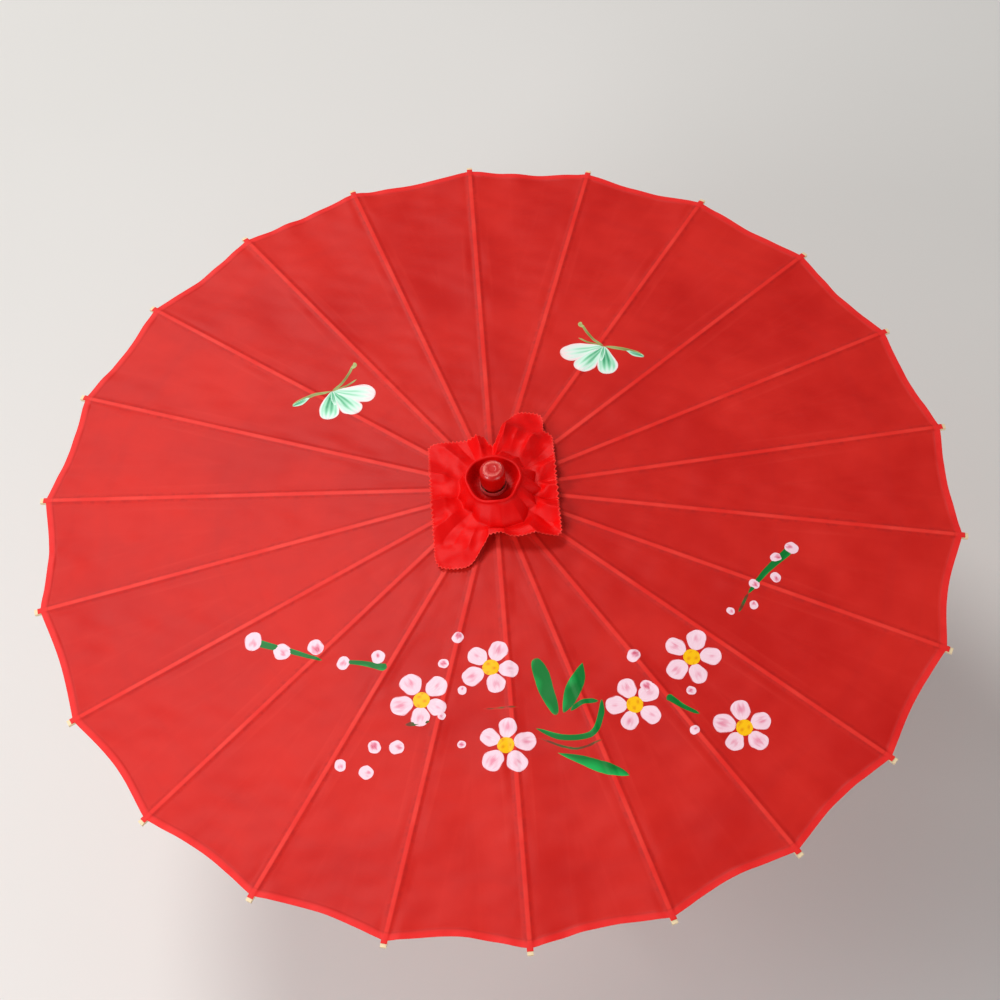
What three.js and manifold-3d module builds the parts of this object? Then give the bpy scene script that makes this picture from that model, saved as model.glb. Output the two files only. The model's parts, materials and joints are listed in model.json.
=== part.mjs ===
// A folding parasol with a bamboo frame: 22 long ribs and 22 stretchers hinge on two slotted
// wooden notches, the fixed top hub and the sliding runner. Millimetres, +Z up along the shaft,
// origin at the middle of the grip. The parasol is modelled open, and each rib, stretcher and
// its place on the runner form an equal-sided linkage, so the runner slides straight as it folds.
import * as THREE from 'three';
import Module from 'manifold-3d';
import { mergeVertices } from 'three/addons/utils/BufferGeometryUtils.js';

const wasm = await Module();
wasm.setup();

// ---------------------------------------------------------------- driving dimensions
const RIB_COUNT = 22;
const FIRST_RIB_DEG = 90; // rib_01 points along +Y, the others follow clockwise seen from above
const CANOPY_SLOPE_DEG = 6.4; // fall of each rib below the horizontal when open
const HEM_RADIUS = 406; // canopy edge, measured at a rib
const TIP_RADIUS = 411; // bare rib ends, just past the canopy edge
const HEM_SCALLOP = 4; // how far the canopy edge curves in between two ribs
const LINK_LENGTH = 170; // hub pivot to stretcher pivot, and the stretcher's own length
const PIVOT_RADIUS = 17; // the lacing wires' circle, on the hub and on the runner
const HUB_HEIGHT = 443; // hub pivots above the middle of the grip

const FIT_GAP = 0.3; // clearance between neighbouring pieces
const SLOT_WIDTH = 3.3;
const TONGUE_WIDTH = 2.7; // rib and stretcher ends inside the notches
const SLOT_FLOOR_RADIUS = 14.3;
const NOTCH_RADIUS = 21.5; // outside of the hub and of the runner's flange
const WIRE_RADIUS = 0.45;
const WIRE_HOLE_RADIUS = 0.95;

const RIB_WIDTH = 5;
const RIB_HALF_DEPTH = 2.25;
const RIB_TIP_DEPTH = 3; // the rib thins from its lug to its tip
const RIB_TAPER = [9, 100]; // the tongue widens into the full rib between these distances
const LUG_DROP = 3.2; // stretcher pivot below the rib's underside
const LUG_RADIUS = 2.3;
const LUG_FLANK = 5;
const LUG_SLOT_WIDTH = 2.9;
const LUG_PIN_RADIUS = 0.55;

const STRETCHER_WIDTH = 3.6;
const STRETCHER_HALF_DEPTH = 2;
const STRETCHER_EYE_WIDTH = 2.3; // the thin end inside the rib's lug
const STRETCHER_EYE_HOLE = 1;

const SHAFT_RADIUS = 5.5;
const BORE_RADIUS = SHAFT_RADIUS + FIT_GAP;
const RUNNER_BORE_RADIUS = 6.2;
const HUB_TOP = 7; // above the hub pivots
const FINIAL_RADIUS = 11;
const FINIAL_NECK_RADIUS = 8.6; // groove that the collar cloth is tied into
const FINIAL_TOP = 35.3; // above the hub pivots
const SHAFT_TOP = 20; // above the hub pivots, inside the finial

const RUNNER_TOP = 5; // faces of the runner, from its pivots
const RUNNER_BOTTOM = -46;
const BARREL_RADIUS = 12;

const CLOTH_DEPTH = 1.2; // plain stand-in thickness of canopy and collar cloth
const CANOPY_HOLE_RADIUS = 23;
const COLLAR_RADIUS = 62;
const COLLAR_CUP_RADIUS = 24; // where the cloth folds over
const COLLAR_CUP_HEIGHT = 19.6; // above the hub pivots

const CATCH_HEIGHT = 28; // from the catch's pin to its top
const CATCH_WIDTH = 2.4;
const CATCH_PIVOT_OFFSET = 3.5; // pin from the shaft's axis
const CATCH_SLOT_FLOOR = 0.8; // slot wall from the shaft's axis
const STOP_PIN_RADIUS = 1.1;
const STOP_PIN_LENGTH = 16.4;

const GRIP_HALF = 50; // half the handle's length
const HANDLE_BORE_END = -20; // the shaft goes this deep into the handle
const CAP_DEPTH = 6;

// ---------------------------------------------------------------- worked-out places
const slope = THREE.MathUtils.degToRad(CANOPY_SLOPE_DEG);
const lugZ = -(RIB_HALF_DEPTH + LUG_DROP);
const lugX = Math.sqrt(LINK_LENGTH ** 2 - lugZ ** 2);
const linkSlope = slope + Math.asin(-lugZ / LINK_LENGTH); // hub pivot to stretcher pivot
const ribTipX = (TIP_RADIUS - PIVOT_RADIUS) / Math.cos(slope);
const runnerHeight = HUB_HEIGHT - 2 * LINK_LENGTH * Math.sin(linkSlope);
const catchTop = runnerHeight + RUNNER_BOTTOM - 0.5;
const catchPivotHeight = catchTop - CATCH_HEIGHT;
const stopPinHeight = runnerHeight + RUNNER_TOP + STOP_PIN_RADIUS + 0.6;
const ROUND = 28; // sides of a turned piece

// ---------------------------------------------------------------- finishes
const finish = (color, roughness, metalness = 0) =>
  new THREE.MeshStandardMaterial({ color, roughness, metalness });
const bamboo = finish('#c9a468', 0.6);
const turnedWood = finish('#8a5a30', 0.5);
const hubWood = finish('#b98d55', 0.65);
const redLacquer = finish('#c41a17', 0.35);
const redSilk = finish('#cf2b2c', 0.6);
const steel = finish('#9a9a98', 0.35, 1);
const redThread = finish('#a81414', 0.8);

// ---------------------------------------------------------------- solid helpers
// A closed geometry as a manifold solid, with its shared corners merged and its faces turned out.
function toSolid(geometry) {
  const bare = geometry.clone();
  for (const name of Object.keys(bare.attributes)) {
    if (name !== 'position') bare.deleteAttribute(name);
  }
  const merged = mergeVertices(bare, 1e-4);
  const corners = merged.attributes.position.array;
  const at = (index) => new THREE.Vector3().fromArray(corners, 3 * index);
  const triangles = [];
  let volume = 0;
  for (let i = 0; i < merged.index.count; i += 3) {
    const [a, b, c] = [0, 1, 2].map((k) => merged.index.getX(i + k));
    if (a === b || b === c || c === a) continue;
    triangles.push([a, b, c]);
    volume += at(a).dot(at(b).cross(at(c)));
  }
  const facesOut = triangles.map(([a, b, c]) => (volume < 0 ? [a, c, b] : [a, b, c]));
  return new wasm.Manifold(new wasm.Mesh({
    numProp: 3,
    vertProperties: new Float32Array(corners),
    triVerts: new Uint32Array(facesOut.flat()),
  }));
}

function toGeometry(solid) {
  const mesh = solid.getMesh();
  const geometry = new THREE.BufferGeometry();
  geometry.setAttribute('position', new THREE.BufferAttribute(new Float32Array(mesh.vertProperties), 3));
  geometry.setIndex(new THREE.BufferAttribute(new Uint32Array(mesh.triVerts), 1));
  geometry.computeVertexNormals();
  return geometry;
}

// A body turned about Z from [radius, height] pairs; it closes on itself unless it is on the axis.
function turned(profile, sides = ROUND) {
  const points = profile.map(([radius, height]) => new THREE.Vector2(radius, height));
  const onAxis = points[0].x === 0 && points.at(-1).x === 0;
  if (!onAxis) points.push(points[0].clone());
  return toSolid(new THREE.LatheGeometry(points, sides).rotateX(Math.PI / 2));
}

// An outline in the upright XZ plane, thickened along Y.
function upright(shape, thickness) {
  const options = { depth: thickness, bevelEnabled: false, curveSegments: 3 };
  return new THREE.ExtrudeGeometry(shape, options).translate(0, 0, -thickness / 2).rotateX(Math.PI / 2);
}

// A six-sided hole for a wire or pin.
function roundHole(x, y, radius) {
  const corners = [0, 1, 2, 3, 4, 5].map((k) => {
    const turn = (k * Math.PI) / 3;
    return new THREE.Vector2(x + radius * Math.cos(turn), y + radius * Math.sin(turn));
  });
  return new THREE.Path(corners);
}

// A rod along X through a point.
function crossRod(radius, length, [x, y, z], sides = 8) {
  return new THREE.CylinderGeometry(radius, radius, length, sides)
    .rotateZ(Math.PI / 2)
    .translate(x, y, z);
}

function block([x0, y0, z0], [x1, y1, z1]) {
  return new THREE.BoxGeometry(x1 - x0, y1 - y0, z1 - z0)
    .translate((x0 + x1) / 2, (y0 + y1) / 2, (z0 + z1) / 2);
}

// Squeezes a bar's thickness along its length: stations are [distance, width] pairs.
function taperWidth(geometry, fullWidth, stations) {
  const position = geometry.attributes.position;
  for (let i = 0; i < position.count; i += 1) {
    const x = position.getX(i);
    let width = stations[0][1];
    for (let k = 1; k < stations.length; k += 1) {
      const [x0, w0] = stations[k - 1];
      const [x1, w1] = stations[k];
      if (x > x0) width = w0 + (w1 - w0) * Math.min(1, (x - x0) / (x1 - x0));
    }
    position.setY(i, position.getY(i) * width / fullWidth);
  }
  return geometry;
}

// ---------------------------------------------------------------- bamboo frame
// A long rib along +X from its hub pivot at the origin, with the slotted lug under it.
function ribSolid() {
  const top = RIB_HALF_DEPTH;
  const shape = new THREE.Shape();
  shape.moveTo(RIB_TAPER[0], top);
  shape.lineTo(RIB_TAPER[1], top);
  shape.lineTo(ribTipX, top);
  shape.lineTo(ribTipX, top - RIB_TIP_DEPTH);
  shape.lineTo(lugX + LUG_FLANK, -top);
  shape.lineTo(lugX + LUG_RADIUS, lugZ);
  shape.absarc(lugX, lugZ, LUG_RADIUS, 0, -Math.PI, true);
  shape.lineTo(lugX - LUG_FLANK, -top);
  shape.lineTo(RIB_TAPER[1], -top);
  shape.lineTo(RIB_TAPER[0], -top);
  shape.absarc(0, 0, top, -Math.PI / 2, -1.5 * Math.PI, true);
  shape.holes.push(roundHole(0, 0, WIRE_HOLE_RADIUS));
  const bar = taperWidth(upright(shape, RIB_WIDTH), RIB_WIDTH, [
    [RIB_TAPER[0], TONGUE_WIDTH],
    [RIB_TAPER[1], RIB_WIDTH],
  ]);
  const slot = block(
    [lugX - 2 * LUG_FLANK, -LUG_SLOT_WIDTH / 2, lugZ - 2 * LUG_RADIUS],
    [lugX + 2 * LUG_FLANK, LUG_SLOT_WIDTH / 2, -top - FIT_GAP],
  );
  const pin = crossRod(LUG_PIN_RADIUS, RIB_WIDTH - 0.8, [0, 0, 0], 6)
    .rotateZ(Math.PI / 2)
    .translate(lugX, 0, lugZ);
  return toSolid(bar).subtract(toSolid(slot)).add(toSolid(pin));
}

// A stretcher along +X from its eye on the rib's pin to its tongue in the runner.
function stretcherSolid() {
  const depth = STRETCHER_HALF_DEPTH;
  const eyeEnd = 5.5;
  const tongueEnd = LINK_LENGTH - 7;
  const widening = 4;
  const shape = new THREE.Shape();
  shape.absarc(0, 0, depth, 1.5 * Math.PI, 0.5 * Math.PI, true);
  shape.lineTo(eyeEnd, depth);
  shape.lineTo(eyeEnd + widening, depth);
  shape.lineTo(tongueEnd - widening, depth);
  shape.lineTo(tongueEnd, depth);
  shape.absarc(LINK_LENGTH, 0, depth, 0.5 * Math.PI, -0.5 * Math.PI, true);
  shape.lineTo(tongueEnd, -depth);
  shape.lineTo(tongueEnd - widening, -depth);
  shape.lineTo(eyeEnd + widening, -depth);
  shape.lineTo(eyeEnd, -depth);
  shape.holes.push(roundHole(0, 0, STRETCHER_EYE_HOLE));
  shape.holes.push(roundHole(LINK_LENGTH, 0, WIRE_HOLE_RADIUS));
  return toSolid(taperWidth(upright(shape, STRETCHER_WIDTH), STRETCHER_WIDTH, [
    [eyeEnd, STRETCHER_EYE_WIDTH],
    [eyeEnd + widening, STRETCHER_WIDTH],
    [tongueEnd - widening, STRETCHER_WIDTH],
    [tongueEnd, TONGUE_WIDTH],
  ]));
}

// ---------------------------------------------------------------- notches
// Cuts one slot for each rib and the tunnel of the lacing wire into a turned notch.
function slotted(body, slotBottom, slotTop) {
  const slots = [];
  for (let i = 0; i < RIB_COUNT; i += 1) {
    const cut = block(
      [SLOT_FLOOR_RADIUS, -SLOT_WIDTH / 2, slotBottom],
      [NOTCH_RADIUS + 2, SLOT_WIDTH / 2, slotTop],
    );
    slots.push(toSolid(cut.rotateZ(ribAngle(i))));
  }
  const tunnel = toSolid(new THREE.TorusGeometry(PIVOT_RADIUS, WIRE_HOLE_RADIUS, 6, 2 * RIB_COUNT));
  return slots.reduce((solid, slot) => solid.subtract(slot), body).subtract(tunnel);
}

function hubSolid() {
  const roof = RIB_HALF_DEPTH + 0.65;
  const bottom = -6;
  return slotted(turned([
    [BORE_RADIUS, bottom], [NOTCH_RADIUS, bottom], [NOTCH_RADIUS, HUB_TOP - 2],
    [NOTCH_RADIUS - 2, HUB_TOP], [BORE_RADIUS, HUB_TOP],
  ], 2 * RIB_COUNT), bottom - 1, roof);
}

function runnerSolid() {
  const slotFloor = -STRETCHER_HALF_DEPTH - 1.2;
  const ring = RUNNER_BOTTOM + 5;
  return slotted(turned([
    [RUNNER_BORE_RADIUS, RUNNER_BOTTOM], [BARREL_RADIUS + 2, RUNNER_BOTTOM],
    [BARREL_RADIUS + 2, ring], [BARREL_RADIUS, ring + 2], [BARREL_RADIUS, -12],
    [NOTCH_RADIUS, -6.5], [NOTCH_RADIUS, RUNNER_TOP], [RUNNER_BORE_RADIUS, RUNNER_TOP],
  ], 2 * RIB_COUNT), slotFloor, RUNNER_TOP + 1);
}

// ---------------------------------------------------------------- shaft, finial and handle
function shaftSolid() {
  const bottom = HANDLE_BORE_END + FIT_GAP;
  const top = HUB_HEIGHT + SHAFT_TOP;
  const rod = turned([[0, bottom], [SHAFT_RADIUS, bottom], [SHAFT_RADIUS, top], [0, top]]);
  const catchSlot = toSolid(block(
    [-CATCH_WIDTH / 2 - 0.4, -SHAFT_RADIUS - 1, catchPivotHeight - 5],
    [CATCH_WIDTH / 2 + 0.4, -CATCH_SLOT_FLOOR, catchTop + 4],
  ));
  const stopHole = toSolid(crossRod(STOP_PIN_RADIUS + FIT_GAP, 20, [0, 0, stopPinHeight]));
  const hingeHole = toSolid(crossRod(0.9, 20, [0, -CATCH_PIVOT_OFFSET, catchPivotHeight]));
  return rod.subtract(catchSlot).subtract(stopHole).subtract(hingeHole);
}

// The knob on the shaft's top: a straight drum with a domed crown, on a neck for the collar's tie.
function finialSolid() {
  const seat = HUB_TOP + FIT_GAP;
  const boreEnd = SHAFT_TOP + FIT_GAP;
  return turned([
    [0, boreEnd], [BORE_RADIUS, boreEnd], [BORE_RADIUS, seat], [FINIAL_NECK_RADIUS, seat],
    [FINIAL_NECK_RADIUS, seat + 6], [FINIAL_RADIUS - 0.6, seat + 8.5], [FINIAL_RADIUS, seat + 12],
    [FINIAL_RADIUS, FINIAL_TOP - 3], [FINIAL_RADIUS - 1, FINIAL_TOP - 1.2], [6.8, FINIAL_TOP],
    [0, FINIAL_TOP],
  ]);
}

function handleSolid() {
  const groove = 0.9;
  const profile = [[0, -GRIP_HALF], [8.6, -GRIP_HALF], [9.6, -GRIP_HALF + 3]];
  for (const height of [-36, -30]) {
    profile.push([9.8, height - 1.4], [9.8 - groove, height], [9.8, height + 1.4]);
  }
  profile.push([10.4, -10], [10.4, 12], [9.4, 36], [8.2, GRIP_HALF - 2], [7.4, GRIP_HALF]);
  profile.push([BORE_RADIUS, GRIP_HALF], [BORE_RADIUS, HANDLE_BORE_END], [0, HANDLE_BORE_END]);
  return turned(profile);
}

function endCapSolid() {
  const top = -GRIP_HALF - FIT_GAP;
  const bottom = -GRIP_HALF - CAP_DEPTH;
  return turned([[0, bottom], [6.4, bottom], [7.8, bottom + 1.4], [8.2, top - 1], [7.6, top], [0, top]], 24);
}

// ---------------------------------------------------------------- spring catch
// A flat steel latch that holds the runner up; it hinges on its pin and sinks into the shaft.
function catchSolid() {
  const shape = new THREE.Shape();
  shape.moveTo(1.2, -3);
  shape.lineTo(4.9, -3);
  shape.lineTo(5, 2);
  shape.lineTo(8.9, CATCH_HEIGHT - 0.8);
  shape.lineTo(8.9, CATCH_HEIGHT);
  shape.lineTo(5.4, CATCH_HEIGHT);
  shape.lineTo(2.4, 4);
  shape.holes.push(roundHole(CATCH_PIVOT_OFFSET, 0, 0.9));
  return toSolid(upright(shape, CATCH_WIDTH).rotateZ(-Math.PI / 2));
}

// ---------------------------------------------------------------- cloth
// Height of the ribs' upper faces above the hub pivots, at a radius.
const ribTopAt = (radius) =>
  RIB_HALF_DEPTH / Math.cos(slope) - (radius - PIVOT_RADIUS) * Math.tan(slope);

// The canopy: one flat gore between each two ribs, its edge scalloped in at each gore's middle.
function canopySolid() {
  const under = (radius) => ribTopAt(radius) + FIT_GAP;
  const geometry = new THREE.LatheGeometry([
    [CANOPY_HOLE_RADIUS, under(CANOPY_HOLE_RADIUS)],
    [HEM_RADIUS, under(HEM_RADIUS)],
    [HEM_RADIUS, under(HEM_RADIUS) + CLOTH_DEPTH],
    [CANOPY_HOLE_RADIUS, under(CANOPY_HOLE_RADIUS) + CLOTH_DEPTH],
    [CANOPY_HOLE_RADIUS, under(CANOPY_HOLE_RADIUS)],
  ].map(([radius, height]) => new THREE.Vector2(radius, height)), 2 * RIB_COUNT);
  geometry.rotateX(Math.PI / 2);
  const halfGore = Math.PI / RIB_COUNT;
  const firstRib = THREE.MathUtils.degToRad(FIRST_RIB_DEG);
  const position = geometry.attributes.position;
  for (let i = 0; i < position.count; i += 1) {
    const [x, y, z] = [position.getX(i), position.getY(i), position.getZ(i)];
    const radius = Math.hypot(x, y);
    const onRib = Math.round((Math.atan2(y, x) - firstRib) / halfGore) % 2 === 0;
    if (onRib) continue;
    const pull = radius > HEM_RADIUS / 2 ? HEM_SCALLOP : 0;
    const shrink = Math.cos(halfGore) - pull / radius;
    position.setXYZ(i, x * shrink, y * shrink, z + pull * Math.tan(slope));
  }
  return toSolid(geometry);
}

// The collar cloth: tied into the finial's neck, it rises to a rolled rim and falls as a skirt.
function collarSolid() {
  const skirt = (radius) => ribTopAt(radius) + 2 * FIT_GAP + CLOTH_DEPTH;
  const tied = FINIAL_NECK_RADIUS + 0.4;
  const rim = COLLAR_CUP_RADIUS;
  return turned([
    [tied, 9], [tied, 13.6], [13, 15], [rim - 3, COLLAR_CUP_HEIGHT], [rim, COLLAR_CUP_HEIGHT],
    [rim + 2, 17.4], [30, 11.6], [38, skirt(38) + 1.6 * CLOTH_DEPTH],
    [COLLAR_RADIUS, skirt(COLLAR_RADIUS) + CLOTH_DEPTH], [COLLAR_RADIUS, skirt(COLLAR_RADIUS)],
    [36, skirt(36)], [28.6, 11], [rim + 0.6, 17],
    [rim - 1, 18.4], [13.4, 13.6], [tied + CLOTH_DEPTH, 12.6], [tied + CLOTH_DEPTH, 9],
  ]);
}

function collarTieSolid() {
  const inner = FINIAL_NECK_RADIUS + 0.4 + CLOTH_DEPTH + FIT_GAP;
  return turned([
    [inner, 9.4], [inner + 1, 9.2], [inner + 1.5, 9.8], [inner + 1.5, 11.6], [inner + 1, 12.2], [inner, 12],
  ]);
}

// ---------------------------------------------------------------- assembly
function ribAngle(index) {
  return THREE.MathUtils.degToRad(FIRST_RIB_DEG) - (2 * Math.PI * index) / RIB_COUNT;
}

const parasol = new THREE.Group();

function place(name, solid, material, height = 0, parent = parasol) {
  const mesh = new THREE.Mesh(toGeometry(solid), material);
  mesh.name = name;
  mesh.position.z = height;
  parent.add(mesh);
  return mesh;
}

const rib = ribSolid();
const stretcher = stretcherSolid();
for (let i = 0; i < RIB_COUNT; i += 1) {
  const label = String(i + 1).padStart(2, '0');
  const spoke = new THREE.Group();
  spoke.rotation.z = ribAngle(i);
  parasol.add(spoke);
  const ribMesh = place(`rib_${label}`, rib, bamboo, HUB_HEIGHT, spoke);
  ribMesh.position.x = PIVOT_RADIUS;
  ribMesh.rotation.y = slope;
  const eyeHeight = HUB_HEIGHT - LINK_LENGTH * Math.sin(linkSlope);
  const stretcherMesh = place(`stretcher_${label}`, stretcher, bamboo, eyeHeight, spoke);
  stretcherMesh.position.x = PIVOT_RADIUS + LINK_LENGTH * Math.cos(linkSlope);
  stretcherMesh.rotation.y = Math.PI - linkSlope;
}

const lacingWire = toSolid(new THREE.TorusGeometry(PIVOT_RADIUS, WIRE_RADIUS, 6, 2 * RIB_COUNT));
place('top_hub', hubSolid(), hubWood, HUB_HEIGHT);
place('hub_lacing_wire', lacingWire, steel, HUB_HEIGHT);
place('runner', runnerSolid(), hubWood, runnerHeight);
place('runner_lacing_wire', lacingWire, steel, runnerHeight);
place('shaft', shaftSolid(), turnedWood);
place('finial', finialSolid(), redLacquer, HUB_HEIGHT);
place('handle', handleSolid(), turnedWood);
place('end_cap', endCapSolid(), redLacquer);
place('stop_pin', toSolid(crossRod(STOP_PIN_RADIUS, STOP_PIN_LENGTH, [0, 0, stopPinHeight])), steel);
place('spring_catch', catchSolid(), steel, catchPivotHeight);
place('catch_pin', toSolid(crossRod(0.6, 8, [0, -CATCH_PIVOT_OFFSET, catchPivotHeight])), steel);
place('canopy', canopySolid(), redSilk, HUB_HEIGHT);
place('collar_cloth', collarSolid(), redSilk, HUB_HEIGHT);
place('collar_tie', collarTieSolid(), redThread, HUB_HEIGHT);

export default parasol;
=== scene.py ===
"""Looks of a folding parasol: red silk canopy, bamboo frame, tied collar and painted flowers.

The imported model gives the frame. Everything here is in metres, +Z up along the shaft, and each
piece is made in place at rest, in the open pose.
"""
import json
import math
import random

import bmesh
import bpy
import numpy as np
from mathutils import Matrix, Vector

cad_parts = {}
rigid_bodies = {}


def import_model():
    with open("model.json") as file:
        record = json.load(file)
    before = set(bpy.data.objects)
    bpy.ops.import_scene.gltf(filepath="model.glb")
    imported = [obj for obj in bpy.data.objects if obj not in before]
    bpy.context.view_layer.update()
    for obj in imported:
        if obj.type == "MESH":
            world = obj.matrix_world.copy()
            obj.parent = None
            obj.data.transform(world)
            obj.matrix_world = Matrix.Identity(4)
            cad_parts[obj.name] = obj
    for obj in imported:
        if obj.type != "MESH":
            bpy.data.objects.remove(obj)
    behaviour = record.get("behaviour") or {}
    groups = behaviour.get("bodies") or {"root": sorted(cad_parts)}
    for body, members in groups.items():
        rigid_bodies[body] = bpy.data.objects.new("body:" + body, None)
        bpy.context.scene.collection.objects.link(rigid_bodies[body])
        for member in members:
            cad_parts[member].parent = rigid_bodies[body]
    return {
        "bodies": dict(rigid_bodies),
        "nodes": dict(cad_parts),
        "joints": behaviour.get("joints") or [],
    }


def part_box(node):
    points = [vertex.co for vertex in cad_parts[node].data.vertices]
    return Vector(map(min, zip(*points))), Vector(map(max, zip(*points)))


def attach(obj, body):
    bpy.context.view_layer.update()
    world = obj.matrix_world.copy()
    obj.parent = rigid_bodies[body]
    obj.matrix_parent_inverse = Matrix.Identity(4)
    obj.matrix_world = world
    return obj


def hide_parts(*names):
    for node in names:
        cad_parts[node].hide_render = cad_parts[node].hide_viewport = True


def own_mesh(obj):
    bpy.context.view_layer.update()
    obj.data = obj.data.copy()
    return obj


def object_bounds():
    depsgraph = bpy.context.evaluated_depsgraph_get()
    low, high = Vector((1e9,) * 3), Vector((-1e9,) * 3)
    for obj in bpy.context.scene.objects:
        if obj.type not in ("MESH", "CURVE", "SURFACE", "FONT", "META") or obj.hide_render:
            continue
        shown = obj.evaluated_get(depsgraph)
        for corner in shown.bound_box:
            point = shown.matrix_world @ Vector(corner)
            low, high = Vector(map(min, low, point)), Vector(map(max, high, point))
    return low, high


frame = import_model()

cad_low, cad_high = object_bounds()
MM = 0.001

# ---------------------------------------------------------------- places taken from the frame
JOINTS = {joint["name"]: joint for joint in frame["joints"]}
RIBS = sum(name.startswith("rib_") for name in frame["bodies"])
PITCH = 2 * math.pi / RIBS
HALF = PITCH / 2
HUB = JOINTS["umbrella_fold"]["pos_m"]
HUB_Z = HUB[2]
PIVOT_R = math.hypot(HUB[0], HUB[1])
LUG = JOINTS["stretcher_01_hinge"]["pos_m"]
LUG_R, LUG_Z = math.hypot(LUG[0], LUG[1]), LUG[2]
RUNNER_Z = JOINTS["runner_hinge"]["pos_m"][2]
HEM_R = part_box("canopy")[1].y

# ---------------------------------------------------------------- sizes of the cloth and frame
SLOPE = math.radians(6.4)  # fall of the ribs below the horizontal
RIB_TOP = 2.25 * MM  # rib's upper face above its hub pivot
CLOTH_LIFT = 0.2 * MM  # cloth's underside above the rib
CLOTH_DEPTH = 0.3 * MM
CANOPY_INNER_R = 28 * MM
SCALLOP = 4 * MM  # how far the hem curves in between two ribs, on the whole
HEM_BAND = 6 * MM
RIDGE_DROP = 0.6 * MM  # cloth beside a rib, below the cloth on it
GORE_SAG = 1.4 * MM  # at the hem, in the middle of a gore

STRIP_HALF = 2.65 * MM  # half the width of the cloth that stays on a rib
HEM_FOLD = 0.3 * MM
TIP_WRAP = 2.4 * MM  # the cloth on a rib ends this far past the hem

GORE_ROWS, GORE_COLUMNS, STRIP_COLUMNS = 150, 17, 7


def rib_angle(index):
    """Azimuth of a rib; rib 0 is rib_01, along +Y, and the others follow clockwise from above."""
    return math.pi / 2 - index * PITCH


def label(index):
    return f"{index + 1:02d}"


def unit(angle):
    """The direction at an angle, over the ground."""
    return np.array([math.cos(angle), math.sin(angle)])


def add_object(name, data):
    made = bpy.data.objects.new(name, data)
    bpy.context.scene.collection.objects.link(made)
    return made


# ---------------------------------------------------------------- camera and light
CAMERA_TARGET = Vector((0.0043, 0.0185, HUB_Z - 0.0418))
CAMERA_DISTANCE = 2.0615
CAMERA_AZIMUTH, CAMERA_ELEVATION, CAMERA_ROLL = (math.radians(a) for a in (0.53, 56.38, -5.17))
SENSOR, LENS_PER_WIDTH = 36, 2.324

# Area lights: name, place and aim from the hub, width, power in watts and colour.
LIGHTS = [
    ("key", (-1.5, 2.6, 1.75), 0, 0.55, 25, (1, 0.97, 0.93)),
    ("window", (-0.95, 1.15, 2.9), 0, 1.0, 50, (1, 0.98, 0.96)),
    ("near", (-1.2, -0.9, 1.1), 0, 0.8, 16, (0.98, 0.98, 1)),
    ("fill", (2.0, -2.6, 0.9), -0.1, 2.2, 28, (1, 0.98, 0.96)),
]
WORLD_COLOUR, WORLD_STRENGTH = (0.86, 0.88, 0.9, 1), 0.3
FLOOR_SIZE, FLOOR_GAP = 14, 0.5 * MM


def add_camera():
    data = bpy.data.cameras.new("camera")
    data.sensor_width, data.lens = SENSOR, SENSOR * LENS_PER_WIDTH
    data.clip_start, data.clip_end = 0.05, 50
    camera = add_object("camera", data)
    back = Vector((
        math.sin(CAMERA_AZIMUTH) * math.cos(CAMERA_ELEVATION),
        -math.cos(CAMERA_AZIMUTH) * math.cos(CAMERA_ELEVATION),
        math.sin(CAMERA_ELEVATION),
    ))
    level = (-back).to_track_quat("-Z", "Y").to_matrix()
    camera.rotation_mode = "QUATERNION"
    camera.rotation_quaternion = (level @ Matrix.Rotation(CAMERA_ROLL, 3, "Z")).to_quaternion()
    camera.location = CAMERA_TARGET + back * CAMERA_DISTANCE
    bpy.context.scene.camera = camera


def add_studio():
    for name, (x, y, z), aim, size, power, colour in LIGHTS:
        data = bpy.data.lights.new(name, "AREA")
        data.shape, data.size = "DISK", size
        data.energy, data.color = power, colour
        light = add_object(name, data)
        light.location = place = Vector((x, y, HUB_Z + z))
        ray = Vector((0, 0, HUB_Z + aim)) - place
        light.rotation_euler = ray.to_track_quat("-Z", "Y").to_euler()
    world = bpy.data.worlds.new("studio")
    world.use_nodes = True
    background = world.node_tree.nodes["Background"].inputs
    background["Color"].default_value = WORLD_COLOUR
    background["Strength"].default_value = WORLD_STRENGTH
    bpy.context.scene.world = world
    bpy.context.scene.view_settings.view_transform = "Standard"


# ---------------------------------------------------------------- mesh helpers
def new_object(name, vertices, faces, material):
    mesh = bpy.data.meshes.new(name)
    mesh.from_pydata([tuple(v) for v in vertices], [], [tuple(f) for f in faces])
    mesh.materials.append(material)
    mesh.shade_smooth()
    mesh.update()
    return add_object(name, mesh)


def store(obj, name, values, kind="FLOAT"):
    """A named value, or a colour, at each vertex, for the materials to read."""
    attribute = obj.data.attributes.new(name, kind, "POINT")
    key = "color" if kind == "FLOAT_COLOR" else "value"
    attribute.data.foreach_set(key, np.asarray(values, np.float32).ravel())


def sharpen(obj, degrees):
    obj.data.shade_smooth()
    obj.data.set_sharp_from_angle(angle=math.radians(degrees))


def grid_faces(rows, columns, offset=0, flip=False, around=False):
    """Quads of a rows x columns grid of vertices; around joins the last column to the first."""
    faces = []
    for r in range(rows - 1):
        for c in range(columns if around else columns - 1):
            d = (c + 1) % columns
            quad = [r * columns + c, r * columns + d, (r + 1) * columns + d, (r + 1) * columns + c]
            faces.append([offset + v for v in (reversed(quad) if flip else quad)])
    return faces


def rim_of_grid(rows, columns):
    """Indices round the border of a grid, in order."""
    top = list(range(columns))
    right = [r * columns + columns - 1 for r in range(1, rows)]
    bottom = [(rows - 1) * columns + c for c in range(columns - 2, -1, -1)]
    left = [r * columns for r in range(rows - 2, 0, -1)]
    return top + right + bottom + left


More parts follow.
